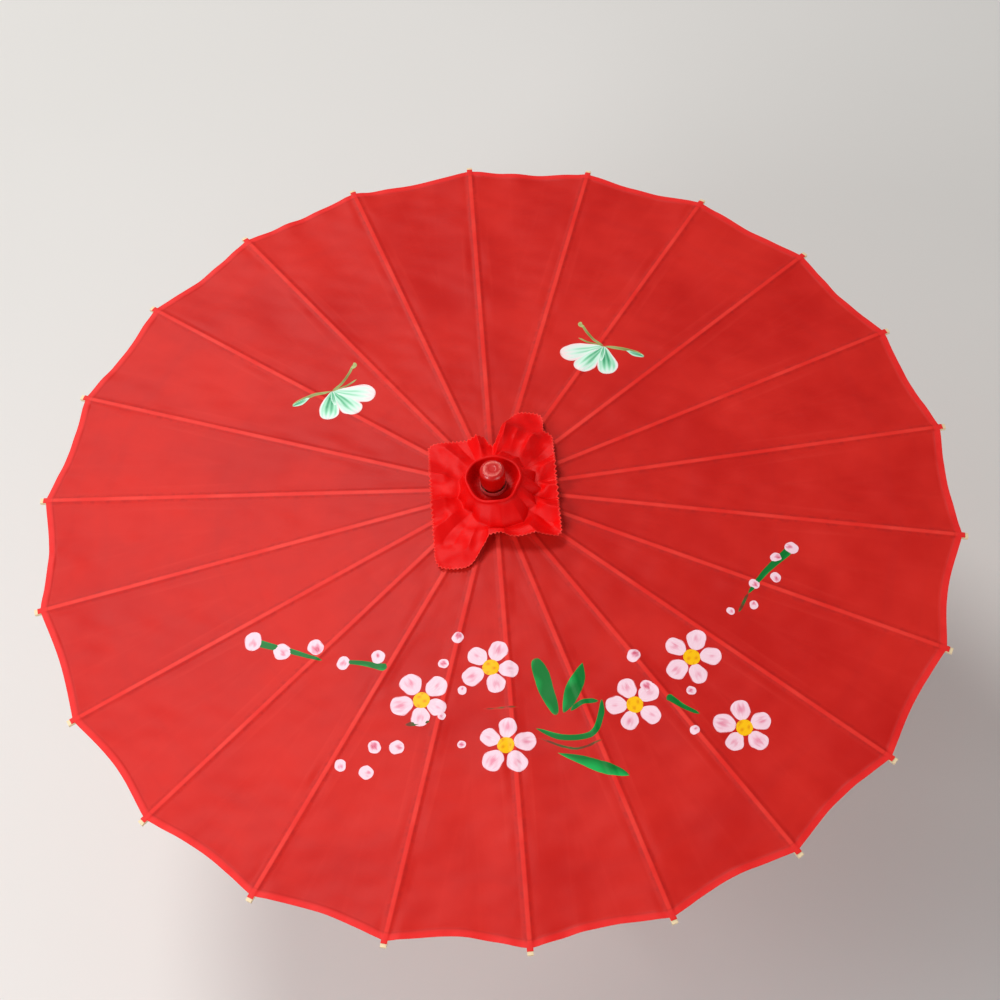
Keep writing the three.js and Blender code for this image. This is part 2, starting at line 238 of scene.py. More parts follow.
def slab(top, bottom, rows, columns, flip=False):
    """A thin closed sheet from two grids of points: the upper face, the lower face and the rim."""
    count = rows * columns
    faces = grid_faces(rows, columns, 0, flip) + grid_faces(rows, columns, count, not flip)
    rim = rim_of_grid(rows, columns)
    for a, b in zip(rim, rim[1:] + rim[:1]):
        quad = [a, a + count, b + count, b]
        faces.append(quad[::-1] if flip else quad)
    return np.concatenate([top, bottom]), faces


def lathe(name, profile, material, segments):
    """A smooth body turned about Z from (radius, height) points; its two ends are on the axis."""
    vertices, faces, rings = [], [], []
    for radius, height in profile:
        if radius < 1e-7:
            rings.append([len(vertices)])
            vertices.append((0, 0, height))
            continue
        rings.append(list(range(len(vertices), len(vertices) + segments)))
        for k in range(segments):
            turn = 2 * math.pi * k / segments
            vertices.append((radius * math.cos(turn), radius * math.sin(turn), height))
    for lower, upper in zip(rings, rings[1:]):
        for k in range(segments):
            n = (k + 1) % segments
            if len(lower) == 1:
                faces.append([lower[0], upper[n], upper[k]])
            elif len(upper) == 1:
                faces.append([lower[k], lower[n], upper[0]])
            else:
                faces.append([lower[k], lower[n], upper[n], upper[k]])
    obj = new_object(name, vertices, faces, material)
    sharpen(obj, 40)
    return obj


def rounded(profile, radius, steps=4):
    """Rounds the corners of a list of (radius, height) points; its two ends stay."""
    result = [profile[0]]
    for before, corner, after in zip(profile, profile[1:], profile[2:]):
        a, b, c = Vector(before), Vector(corner), Vector(after)
        cut = min(radius, (a - b).length * 0.45, (c - b).length * 0.45)
        start, end = b + (a - b).normalized() * cut, b + (c - b).normalized() * cut
        for k in range(steps + 1):
            t = k / steps
            point = start * (1 - t) ** 2 + b * 2 * t * (1 - t) + end * t ** 2
            result.append((point.x, point.y))
    result.append(profile[-1])
    return result


# ---------------------------------------------------------------- material helpers
def linear(red, green, blue):
    """A colour given as 0 to 255 screen values, as the shader's linear values."""
    def one(value):
        value /= 255
        return value / 12.92 if value <= 0.04045 else ((value + 0.055) / 1.055) ** 2.4
    return (one(red), one(green), one(blue), 1)


class Shader:
    """A node material with one Principled shader, and short names for the nodes used here."""

    def __init__(self, name, roughness=0.5, **sockets):
        self.material = bpy.data.materials.new(name)
        self.material.use_nodes = True
        self.tree = self.material.node_tree
        self.bsdf = self.tree.nodes["Principled BSDF"]
        self.bsdf.inputs["Roughness"].default_value = roughness
        for socket, value in sockets.items():
            self.bsdf.inputs[socket.replace("_", " ")].default_value = value

    def node(self, kind, **settings):
        made = self.tree.nodes.new(kind)
        for key, value in settings.items():
            setattr(made, key, value)
        return made

    def link(self, source, target):
        self.tree.links.new(source, target)

    def feed(self, socket, value):
        if isinstance(value, bpy.types.NodeSocket):
            self.link(value, socket)
        else:
            socket.default_value = value

    def attribute(self, name, output="Fac"):
        return self.node("ShaderNodeAttribute", attribute_name=name).outputs[output]

    def place(self):
        return self.node("ShaderNodeTexCoord").outputs["Object"]

    def math(self, operation, a, b):
        made = self.node("ShaderNodeMath", operation=operation)
        self.feed(made.inputs[0], a)
        self.feed(made.inputs[1], b)
        return made.outputs[0]

    def times(self, a, b):
        return self.math("MULTIPLY", a, b)

    def plus(self, a, b):
        return self.math("ADD", a, b)

    def step(self, value, low, high):
        """0 below low and 1 above high, smooth between."""
        made = self.node("ShaderNodeMapRange", interpolation_type="SMOOTHSTEP")
        self.feed(made.inputs["Value"], value)
        made.inputs["From Min"].default_value, made.inputs["From Max"].default_value = low, high
        return made.outputs["Result"]

    def fade(self, value, low, high):
        """1 below low and 0 above high."""
        return self.math("SUBTRACT", 1.0, self.step(value, low, high))

    def noise(self, scale, detail=3.0, rough=0.55, vector=None, stretch=None, distortion=0.0):
        made = self.node("ShaderNodeTexNoise")
        made.inputs["Scale"].default_value = scale
        made.inputs["Detail"].default_value = detail
        made.inputs["Roughness"].default_value = rough
        made.inputs["Distortion"].default_value = distortion
        source = self.place() if vector is None else vector
        if stretch is not None:
            mapping = self.node("ShaderNodeMapping")
            mapping.inputs["Scale"].default_value = stretch
            self.link(source, mapping.inputs["Vector"])
            source = mapping.outputs["Vector"]
        self.link(source, made.inputs["Vector"])
        return made.outputs["Fac"]

    def wave(self, vector, scale, axis, distortion=0.0):
        made = self.node("ShaderNodeTexWave", bands_direction=axis, wave_profile="SIN")
        made.inputs["Scale"].default_value = scale
        made.inputs["Distortion"].default_value = distortion
        made.inputs["Detail"].default_value = 1
        self.link(vector, made.inputs["Vector"])
        return made.outputs["Fac"]

    def mix(self, factor, a, b):
        made = self.node("ShaderNodeMix", data_type="RGBA", blend_type="MIX")
        self.feed(made.inputs[0], factor)
        self.feed(made.inputs[6], a)
        self.feed(made.inputs[7], b)
        return made.outputs[2]

    def over(self, base, mask, amount, colour):
        """The base with a colour laid over it, by a mask times an amount."""
        return self.mix(self.times(mask, amount), base, colour)

    def bump(self, height, distance, strength, under=None):
        made = self.node("ShaderNodeBump")
        made.inputs["Distance"].default_value = distance
        made.inputs["Strength"].default_value = strength
        self.link(height, made.inputs["Height"])
        if under is not None:
            self.link(under, made.inputs["Normal"])
        return made.outputs["Normal"]

    def finish(self, colour=None, roughness=None, normal=None):
        if colour is not None:
            self.feed(self.bsdf.inputs["Base Color"], colour)
        if roughness is not None:
            self.feed(self.bsdf.inputs["Roughness"], roughness)
        if normal is not None:
            self.link(normal, self.bsdf.inputs["Normal"])
        return self.material


def cloth_vector(shader):
    """The cloth's own flat coordinates in metres, across and along each gore."""
    return shader.node("ShaderNodeUVMap", uv_map="cloth").outputs["UV"]


def canopy_material():
    """Oiled silk: weave, slubs, cloudy oil, a brighter hem, faint glue beside the ribs, and a
    brighter band over each rib, partly the pale bamboo under the cloth and partly a painted
    highlight.
    """
    s = Shader("canopy_silk", 0.5, Sheen_Weight=0.06, Sheen_Roughness=0.4, Subsurface_Weight=0.15,
               Subsurface_Scale=0.003, Specular_IOR_Level=0.22)
    s.bsdf.inputs["Subsurface Radius"].default_value = (1, 0.35, 0.3)
    s.bsdf.inputs["Sheen Tint"].default_value = linear(255, 190, 180)
    flat = cloth_vector(s)
    clouds = s.noise(9, 4, 0.6)
    base = s.mix(s.step(clouds, 0.3, 0.72), linear(190, 17, 9), linear(208, 32, 22))
    slubs = s.noise(90, 2, 0.5, flat, (1, 0.03, 1))
    base = s.over(base, s.step(slubs, 0.52, 0.8), 0.35, linear(228, 60, 50))
    cross_slubs = s.noise(70, 2, 0.5, flat, (0.04, 1, 1))
    base = s.over(base, s.step(cross_slubs, 0.5, 0.8), 0.2, linear(182, 26, 24))
    beside_rib = s.attribute("from_rib")
    glue = s.times(s.step(s.noise(160, 2, 0.5), 0.42, 0.66),
                  s.fade(beside_rib, 3.2 * MM, 6.5 * MM))
    base = s.over(base, glue, 0.45, linear(170, 22, 20))
    # Painted highlight: a brighter band over each rib, partly the pale bamboo seen through the
    # cloth and partly light painted into the colour.
    rib_highlight_band = s.fade(beside_rib, 0.9 * MM, 2.7 * MM)
    rib_highlight_clouds = s.step(s.noise(24, 3, 0.6), 0.3, 0.75)
    rib_highlight_tone = s.mix(rib_highlight_clouds, linear(236, 36, 27), linear(247, 60, 49))
    base = s.over(base, rib_highlight_band, 0.9, rib_highlight_tone)
    to_hem = s.attribute("from_hem")
    hem = s.fade(to_hem, HEM_BAND - 3 * MM, HEM_BAND + 1.2 * MM)
    hem_red = s.mix(s.noise(60, 3, 0.6), linear(222, 22, 24), linear(250, 48, 44))
    base = s.over(base, hem, 0.85, hem_red)
    glue_line = s.times(s.step(to_hem, HEM_BAND - 0.6 * MM, HEM_BAND),
                       s.fade(to_hem, HEM_BAND + 0.6 * MM, HEM_BAND + 1.6 * MM))
    base = s.over(base, glue_line, 0.2, linear(165, 16, 16))
    weave = s.plus(s.wave(flat, 620, "X"), s.wave(flat, 620, "Y"))
    normal = s.bump(weave, 0.03 * MM, 0.35)
    normal = s.bump(slubs, 0.12 * MM, 0.5, normal)
    normal = s.bump(s.noise(26, 3, 0.5), 0.6 * MM, 0.5, normal)
    rough = s.plus(0.42, s.times(clouds, 0.2))
    return s.finish(base, rough, normal)


def collar_material():
    """Bright satin: a fine weave, painted shade inside the cup, with a paler frayed edge."""
    s = Shader("collar_satin", 0.42, Sheen_Weight=0.03, Sheen_Roughness=0.35,
               Subsurface_Weight=0.12, Subsurface_Scale=0.003, Specular_IOR_Level=0.14)
    s.bsdf.inputs["Subsurface Radius"].default_value = (1, 0.15, 0.1)
    s.bsdf.inputs["Sheen Tint"].default_value = linear(255, 150, 140)
    flat = cloth_vector(s)
    base = s.mix(s.noise(45, 3, 0.6), linear(218, 1, 2), linear(238, 8, 7))
    base = s.mix(s.fade(s.attribute("from_edge"), 0.2 * MM, 1.6 * MM), base, linear(250, 60, 52))
    threads = s.noise(220, 2, 0.5, flat, (1, 0.05, 1))
    base = s.over(base, s.step(threads, 0.5, 0.8), 0.12, linear(255, 46, 38))
    # Painted shade inside the cup, darkest at its bottom by the tie.
    base = s.over(base, s.attribute("in_cup"), 0.8, linear(176, 0, 0))
    weave = s.plus(s.wave(flat, 900, "X"), s.wave(flat, 900, "Y"))
    normal = s.bump(weave, 0.04 * MM, 0.4)
    normal = s.bump(s.noise(120, 3, 0.6), 0.25 * MM, 0.5, normal)
    return s.finish(base, None, normal)


def wood_material(name, dark, light, gloss=0.0):
    """Wood with its grain along Z, fine pores, and varnish where gloss is above 0."""
    s = Shader(name, 0.45, Coat_Weight=gloss, Coat_Roughness=0.15)
    streaks = s.noise(140, 5, 0.65, None, (1, 1, 0.06), 0.6)
    broad = s.noise(35, 3, 0.5, None, (1, 1, 0.06), 1.2)
    base = s.mix(s.step(broad, 0.3, 0.7), dark, light)
    base = s.over(base, s.step(streaks, 0.5, 0.75), 0.5, dark)
    pores = s.noise(840, 2, 0.5, None, (1, 1, 0.036))
    normal = s.bump(s.step(pores, 0.3, 0.6), 0.1 * MM, 0.35)
    normal = s.bump(streaks, 0.25 * MM, 0.35, normal)
    rough = s.plus(0.37, s.times(pores, 0.2))
    return s.finish(base, rough, normal)


def bamboo_material():
    """Split bamboo along the strip: fibres, a shiny skin, and dark node rings at intervals."""
    s = Shader("bamboo", 0.5)
    flat = cloth_vector(s)
    fibres = s.noise(900, 4, 0.6, flat, (1, 0.02, 1))
    tone = s.noise(60, 3, 0.5, flat, (1, 0.25, 1))
    base = s.mix(s.step(tone, 0.3, 0.7), linear(188, 146, 88), linear(222, 188, 130))
    base = s.over(base, s.step(fibres, 0.45, 0.75), 0.55, linear(150, 106, 58))
    ring = s.attribute("node_ring")
    base = s.over(base, ring, 0.7, linear(120, 78, 40))
    base = s.over(base, s.attribute("fresh_end"), 0.85, linear(244, 222, 180))
    specks = s.step(s.noise(1500, 2, 0.5, flat, (1, 0.2, 1)), 0.66, 0.72)
    base = s.over(base, specks, 0.35, linear(96, 60, 32))
    normal = s.bump(fibres, 0.1 * MM, 0.5)
    rough = s.plus(0.38, s.times(fibres, 0.25))
    return s.finish(base, rough, normal)


def lacquer_material():
    """Red lacquer over turned wood, rubbed pinkish at the crown's ring and along the edges."""
    s = Shader("red_lacquer", 0.3, Coat_Weight=0.25, Coat_Roughness=0.25)
    base = s.mix(s.noise(160, 3, 0.6), linear(184, 3, 3), linear(208, 16, 9))
    wear = s.attribute("wear")
    patchy = s.step(s.plus(s.times(wear, 0.75), s.times(s.noise(420, 4, 0.7), 0.5)),
                    0.62, 0.86)
    base = s.over(base, patchy, 0.75, linear(240, 120, 104))
    rings = s.wave(s.place(), 260, "Z", 0.6)
    normal = s.bump(rings, 0.05 * MM, 0.25)
    normal = s.bump(s.noise(500, 3, 0.6), 0.1 * MM, 0.3, normal)
    rough = s.plus(0.26, s.times(patchy, 0.35))
    return s.finish(base, rough, normal)


def steel_material(name, tone, roughness):
    s = Shader(name, roughness, Metallic=1.0)
    scratches = s.noise(700, 3, 0.6, None, (1, 1, 0.05))
    base = s.mix(s.times(s.step(s.noise(90, 4, 0.7), 0.56, 0.75), 0.5), tone, linear(120, 92, 70))
    rough = s.plus(roughness - 0.1, s.times(scratches, 0.3))
    return s.finish(base, rough, s.bump(scratches, 0.04 * MM, 0.4))


def thread_material(name, dark, light):
    """Twisted yarn, with the twist running along the piece's own coordinates."""
    s = Shader(name, 0.75, Sheen_Weight=0.3)
    flat = cloth_vector(s)
    twist = s.wave(flat, 420, "DIAGONAL", 0.4)
    base = s.mix(s.plus(s.times(twist, 0.7), s.times(s.noise(900), 0.3)), dark, light)
    return s.finish(base, None, s.bump(twist, 0.15 * MM, 0.7))


def paint_material():
    """Opaque brushed paint: each dab's colour with streaks along its strokes, thin at its edges."""
    s = Shader("paint", 0.45, Specular_IOR_Level=0.2)
    flat = cloth_vector(s)
    streaks = s.noise(1100, 3, 0.6, flat, (1, 0.12, 1), 0.3)
    colour = s.attribute("dab", "Color")
    pale = s.mix(0.4, colour, linear(255, 246, 248))
    base = s.mix(s.times(s.step(streaks, 0.46, 0.7), s.attribute("streaky")), colour, pale)
    cover = s.plus(s.attribute("cover"), s.times(s.math("SUBTRACT", streaks, 0.5), 0.9))
    base = s.mix(s.step(cover, 0.25, 0.6), linear(206, 36, 30), base)
    return s.finish(base, None, s.bump(streaks, 0.12 * MM, 0.5))


def floor_material():
    s = Shader("pale_floor", 0.6)
    base = s.mix(s.noise(1.5, 3, 0.5), linear(222, 220, 216), linear(230, 228, 225))
    return s.finish(base, None, s.bump(s.noise(240, 3, 0.6), 0.1 * MM, 0.15))


# ---------------------------------------------------------------- the canopy's surface
def ripple(x, y, wavelength, seed, waves=9):
    """Smooth unevenness between about -1 and 1 over a plane, from a few crossing waves."""
    draw = random.Random(seed)
    total = np.zeros(np.broadcast(x, y).shape)
    for _ in range(waves):
        turn, phase = draw.uniform(0, 2 * math.pi), draw.uniform(0, 2 * math.pi)
        stride = 2 * math.pi / (wavelength * draw.uniform(0.65, 1.6))
        total += np.sin(stride * (x * math.cos(turn) + y * math.sin(turn)) + phase)
    return total / 3


def smooth(value, low, high):
    t = np.clip((value - low) / (high - low), 0, 1)
    return t * t * (3 - 2 * t)


def rib_line_z(radius):
    """Height of the ribs' upper faces at a distance from the shaft's axis."""
    return HUB_Z + RIB_TOP / math.cos(SLOPE) - (radius - PIVOT_R) * math.tan(SLOPE)


def gore_place(x, y):
    """For places seen from above: the ribs' reach on the same chord, and the distance from the rib.

    Also gives the chord's half length, and the turn from the first rib counted in ribs.
    """
    turn = (math.pi / 2 - np.arctan2(y, x)) / PITCH
    off = np.abs(turn - np.round(turn)) * PITCH
    radius = np.hypot(x, y)
    reach = radius * np.cos(HALF - off) / math.cos(HALF)
    half_chord = reach * math.sin(HALF)
    from_rib = half_chord - radius * np.sin(HALF - off)
    return reach, from_rib, half_chord, turn


def hem_reach(share, gore):
    """The ribs' reach on the hem's chord, at a share of the way from a rib to the gore's middle.

    The gores, counted from 0 at rib_01, are cut a little differently, and deepest towards -Y.
    """
    pull = SCALLOP * (1 - 0.45 * np.cos((gore + 0.5) * PITCH) + 0.3 * np.sin(gore * 2.4))
    return HEM_R - pull * np.sin(np.clip(share, 0, 1) * math.pi / 2) ** 1.3


def cloth_height(x, y):
    """Height of the cloth's upper face over places on the ground."""
    reach, from_rib, half_chord, turn = gore_place(x, y)
    share = np.clip(from_rib / np.maximum(half_chord, 1e-6), 0, 1)
    far = np.clip(reach / HEM_R, 0, 1.05)
    ridge = RIDGE_DROP * smooth(from_rib, 1.3 * MM, STRIP_HALF + 2.4 * MM)
    ridge = ridge * np.clip(half_chord / (8 * MM), 0, 1)
    sag = GORE_SAG * far ** 2 * np.sin(share * math.pi / 2) ** 2
    loose = smooth(from_rib, STRIP_HALF, 12 * MM) * smooth(reach, 20 * MM, 120 * MM)
    uneven = ripple(x, y, 60 * MM, 3) * 0.5 * MM + ripple(x, y, 21 * MM, 4) * 0.16 * MM
    to_hem = np.maximum(hem_reach(share, np.floor(turn) % RIBS) - reach, 0)
    # Gathers run inwards from the hem, where the cloth was folded over and glued.
    gathers = np.sin(turn * 2 * math.pi * 2.7 + 5 * ripple(turn, turn * 0, 2.3, 8) + to_hem * 12)
    gathers *= np.exp(-to_hem / (24 * MM)) * (0.45 + 0.35 * ripple(x, y, 70 * MM, 6)) * MM
    band = HEM_FOLD * (1 - smooth(to_hem, HEM_BAND - 0.5 * MM, HEM_BAND + 0.4 * MM))
    rise = (uneven + gathers) * loose + band * smooth(from_rib, STRIP_HALF, STRIP_HALF + 2 * MM)
    return rib_line_z(reach) + CLOTH_LIFT + CLOTH_DEPTH - ridge - sag + rise


def surface_normals(height, x, y, step=0.5 * MM):
    dx = (height(x + step, y) - height(x - step, y)) / (2 * step)
    dy = (height(x, y + step) - height(x, y - step)) / (2 * step)
    normals = np.stack([-dx, -dy, np.ones_like(dx)], -1)
    return normals / np.linalg.norm(normals, axis=-1, keepdims=True)


def set_normals(obj, normals):
    """The normals of the whole surface, so that its pieces meet without a visible edge."""
    obj.data.normals_split_custom_set_from_vertices([tuple(n) for n in normals])


def set_cloth_uv(obj, u, v):
    """Flat coordinates in metres at each vertex, as the UV map that the weaves and grains read."""
    layer = obj.data.uv_layers.new(name="cloth")
    corners = np.empty(len(obj.data.loops), np.int32)
    obj.data.loops.foreach_get("vertex_index", corners)
    flat = np.stack([np.asarray(u)[corners], np.asarray(v)[corners]], -1)
    layer.data.foreach_set("uv", flat.astype(np.float32).ravel())


# ---------------------------------------------------------------- the canopy's pieces
class RibFrame:
    """Directions and places of one rib, from which everything on it is laid out."""

    def __init__(self, index):
        self.index = index
        self.angle = rib_angle(index)
        self.name = "rib_" + label(index)
        self.out = np.array([math.cos(self.angle), math.sin(self.angle), 0])
        self.across = np.array([-math.sin(self.angle), math.cos(self.angle), 0])
        self.up = self.out * math.sin(SLOPE) + np.array([0, 0, math.cos(SLOPE)])
        self.along = self.out * math.cos(SLOPE) - np.array([0, 0, math.sin(SLOPE)])
        self.pivot = self.out * PIVOT_R + np.array([0, 0, HUB_Z])

    def at(self, distance, across=0.0, up=0.0):
        """A place by its distance along the rib from the hub's pivot, and its offsets."""
        return self.pivot + self.along * distance + self.across * across + self.up * up

    def fold(self, piece):
        """The piece rides the rib as the umbrella closes, with a mesh of its own."""
        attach(piece, self.name)
        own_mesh(piece)


def cloth_piece(name, x, y, rows, columns, flip, material):
    """A closed thin piece of the canopy over a grid of places, with the whole canopy's normals."""
    normals = surface_normals(cloth_height, x, y)
    top = np.stack([x, y, cloth_height(x, y)], -1)
    bottom = top - normals * CLOTH_DEPTH
    vertices, faces = slab(top, bottom, rows, columns, flip)
    piece = new_object(name, vertices, faces, material)
    set_normals(piece, np.concatenate([normals, -normals]))
    reach, from_rib, half_chord, turn = gore_place(x, y)
    to_hem = hem_reach(from_rib / half_chord, np.floor(turn) % RIBS) - reach
    store(piece, "from_rib", np.tile(from_rib, 2))
    store(piece, "from_hem", np.tile(to_hem, 2))
    set_cloth_uv(piece, np.tile(from_rib, 2), np.tile(reach, 2))
    return piece


def row_places(count):
    """Shares of the way out along a gore, closer together at the hem band."""
    t = np.linspace(0, 1, count)
    return t + 0.06 * np.sin(2 * math.pi * t) / (2 * math.pi) + 0.25 * (t - t ** 2) * t


def add_canopy(material):
    """Each gore in two halves that fold to their own ribs, and a strip on each rib."""
    rows, columns = GORE_ROWS, GORE_COLUMNS
    inner_half = CANOPY_INNER_R * math.sin(HALF)
    for index in range(RIBS):
        rib = RibFrame(index)
        strip_rows = CANOPY_INNER_R + (HEM_R + TIP_WRAP - CANOPY_INNER_R) * row_places(rows)
        across = np.linspace(-STRIP_HALF, STRIP_HALF, STRIP_COLUMNS)
        grid_out, grid_across = np.meshgrid(strip_rows, across, indexing="ij")
        grid_across = np.clip(grid_across, -inner_half, inner_half)
        x = (rib.out[0] * grid_out + rib.across[0] * grid_across).ravel()
        y = (rib.out[1] * grid_out + rib.across[1] * grid_across).ravel()
        strip = cloth_piece("rib_strip_" + label(index), x, y, rows, len(across), True, material)
        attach(strip, rib.name)
        for side in (-1, 1):
            middle = rib.angle + side * HALF
            ahead = unit(middle)
            sideways = np.array([math.sin(middle), -math.cos(middle)]) * side
            share = np.linspace(0, 1, columns) ** 1.25
            t, v = np.meshgrid(row_places(rows), share, indexing="ij")
            # The first column runs along the strip's edge, at a constant distance from the rib.
            edge = STRIP_HALF / math.cos(HALF)
            reach_guess = CANOPY_INNER_R + (HEM_R - CANOPY_INNER_R) * t
            start = np.minimum(edge / (reach_guess * math.sin(HALF)), 1)
            part = start + (1 - start) * v
            gore = (index - (side > 0)) % RIBS
            reach = CANOPY_INNER_R + (hem_reach(part, gore) - CANOPY_INNER_R) * t
            depth = reach * math.cos(HALF)
            from_middle = reach * math.sin(HALF) * (1 - part)
            x = (ahead[0] * depth + sideways[0] * from_middle).ravel()
            y = (ahead[1] * depth + sideways[1] * from_middle).ravel()
            name = f"gore_{'before' if side < 0 else 'after'}_" + label(index)
            piece = cloth_piece(name, x, y, rows, columns, side > 0, material)
            if name == "gore_after_01":
                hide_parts("canopy")
            rib.fold(piece)


# ---------------------------------------------------------------- the painting
PAINT_STEP = 0.75 * MM
PAINT_SINK = 0.1 * MM  # the painted layer's underside, inside the cloth

WHITE, PALE, BLUSH, ROSE = (246, 208, 221), (246, 204, 218), (232, 144, 168), (216, 92, 120)
YOLK, AMBER = (252, 192, 0), (216, 120, 0)
LEAF, FRESH, MOSS, SHADOW_GREEN = (0, 116, 44), (18, 172, 78), (40, 100, 46), (112, 50, 30)
MINT, TEAL, OLIVE, SNOW = (138, 216, 172), (56, 158, 110), (118, 122, 58), (232, 240, 234)
MIST, DRY_LEAF, WING_RIM = (206, 244, 224), (176, 190, 120), (252, 226, 226)

# Places of the painting: how many ribs round from rib_01, and the share of the way to the hem.
BLOSSOMS = [(12.3, 0.5), (11.3, 0.41), (11.1, 0.58), (9.4, 0.57), (8.4, 0.56), (8.6, 0.74)]
PETALS, PETAL_REACH, PETAL_LENGTH = 5, 15, 17.6  # reach to their middles, and length, in mm
CENTRE_DABS, CENTRE_STEP, CENTRE_WIDTH = 3, 7.2, 13.4  # the yellow middle of a blossom, in mm
# Sprays of buds: from and to, how many buds, the first one's radius in mm, and their swing aside.
SPRAYS = [
    ((14.75, 0.6), (13.2, 0.46), 5, 9.5, 6), ((12.4, 0.61), (12.8, 0.7), 4, 8, 9),
    ((6.4, 0.64), (7.55, 0.58), 6, 6.5, 7), ((12.0, 0.35), (11.8, 0.58), 5, 5.5, 12),
    ((9.0, 0.48), (8.9, 0.68), 4, 7, 14),
]


def spot(turn, share):
    """A place of the painting, in mm."""
    return unit(rib_angle(turn)) * share * HEM_R / MM


def blend_colours(share, *colours):
    """Screen colours along a share from 0 to 1, one row of linear red, green and blue each."""
    stops = np.array([linear(*colour)[:3] for colour in colours])
    place = np.clip(np.asarray(share), 0, 1) * (len(colours) - 1)
    low = np.minimum(place.astype(int), len(colours) - 2)
    part = (place - low)[..., None]
    return stops[low] * (1 - part) + stops[low + 1] * part


def smooth_path(points, count):
    """Points along a curve through the given ones."""
    points = np.array(points, float)
    padded = np.vstack([2 * points[0] - points[1], points, 2 * points[-1] - points[-2]])
    spans = len(points) - 1
    result = []
    for t in np.linspace(0, spans, count):
        k = min(int(t), spans - 1)
        f = t - k
        a, b, c, d = padded[k:k + 4]
        result.append(0.5 * (2 * b + (c - a) * f + (2 * a - 5 * b + 4 * c - d) * f ** 2
                             + (3 * b - a - 3 * c + d) * f ** 3))
    return np.array(result)


def oval(u):
    return np.sqrt(np.maximum(1 - (2 * u - 1) ** 2, 0))


def egg(u):
    """Narrow at the start and broad near the far end."""
    return oval(u) * (0.84 + 0.22 * u)


def wing(u):
    return oval(u ** 1.25) * (0.5 + 0.62 * u)


def leaf(u):
    return np.sin(math.pi * u ** 0.85) ** 0.85


def blade(u):
    return oval(u) ** 0.8 * (0.8 + 0.3 * u)


def taper(u):
    return np.minimum(1, 6 * u) ** 0.5 * (1 - 0.75 * u) * np.minimum(1, 8 * (1 - u)) ** 0.5


def stem(u):
    return np.minimum(1, 12 * u) ** 0.5 * (1 - 0.62 * u) * np.minimum(1, 10 * (1 - u)) ** 0.5


def even(u):
    return np.minimum(1, 5 * u) ** 0.5 * np.minimum(1, 5 * (1 - u)) ** 0.5


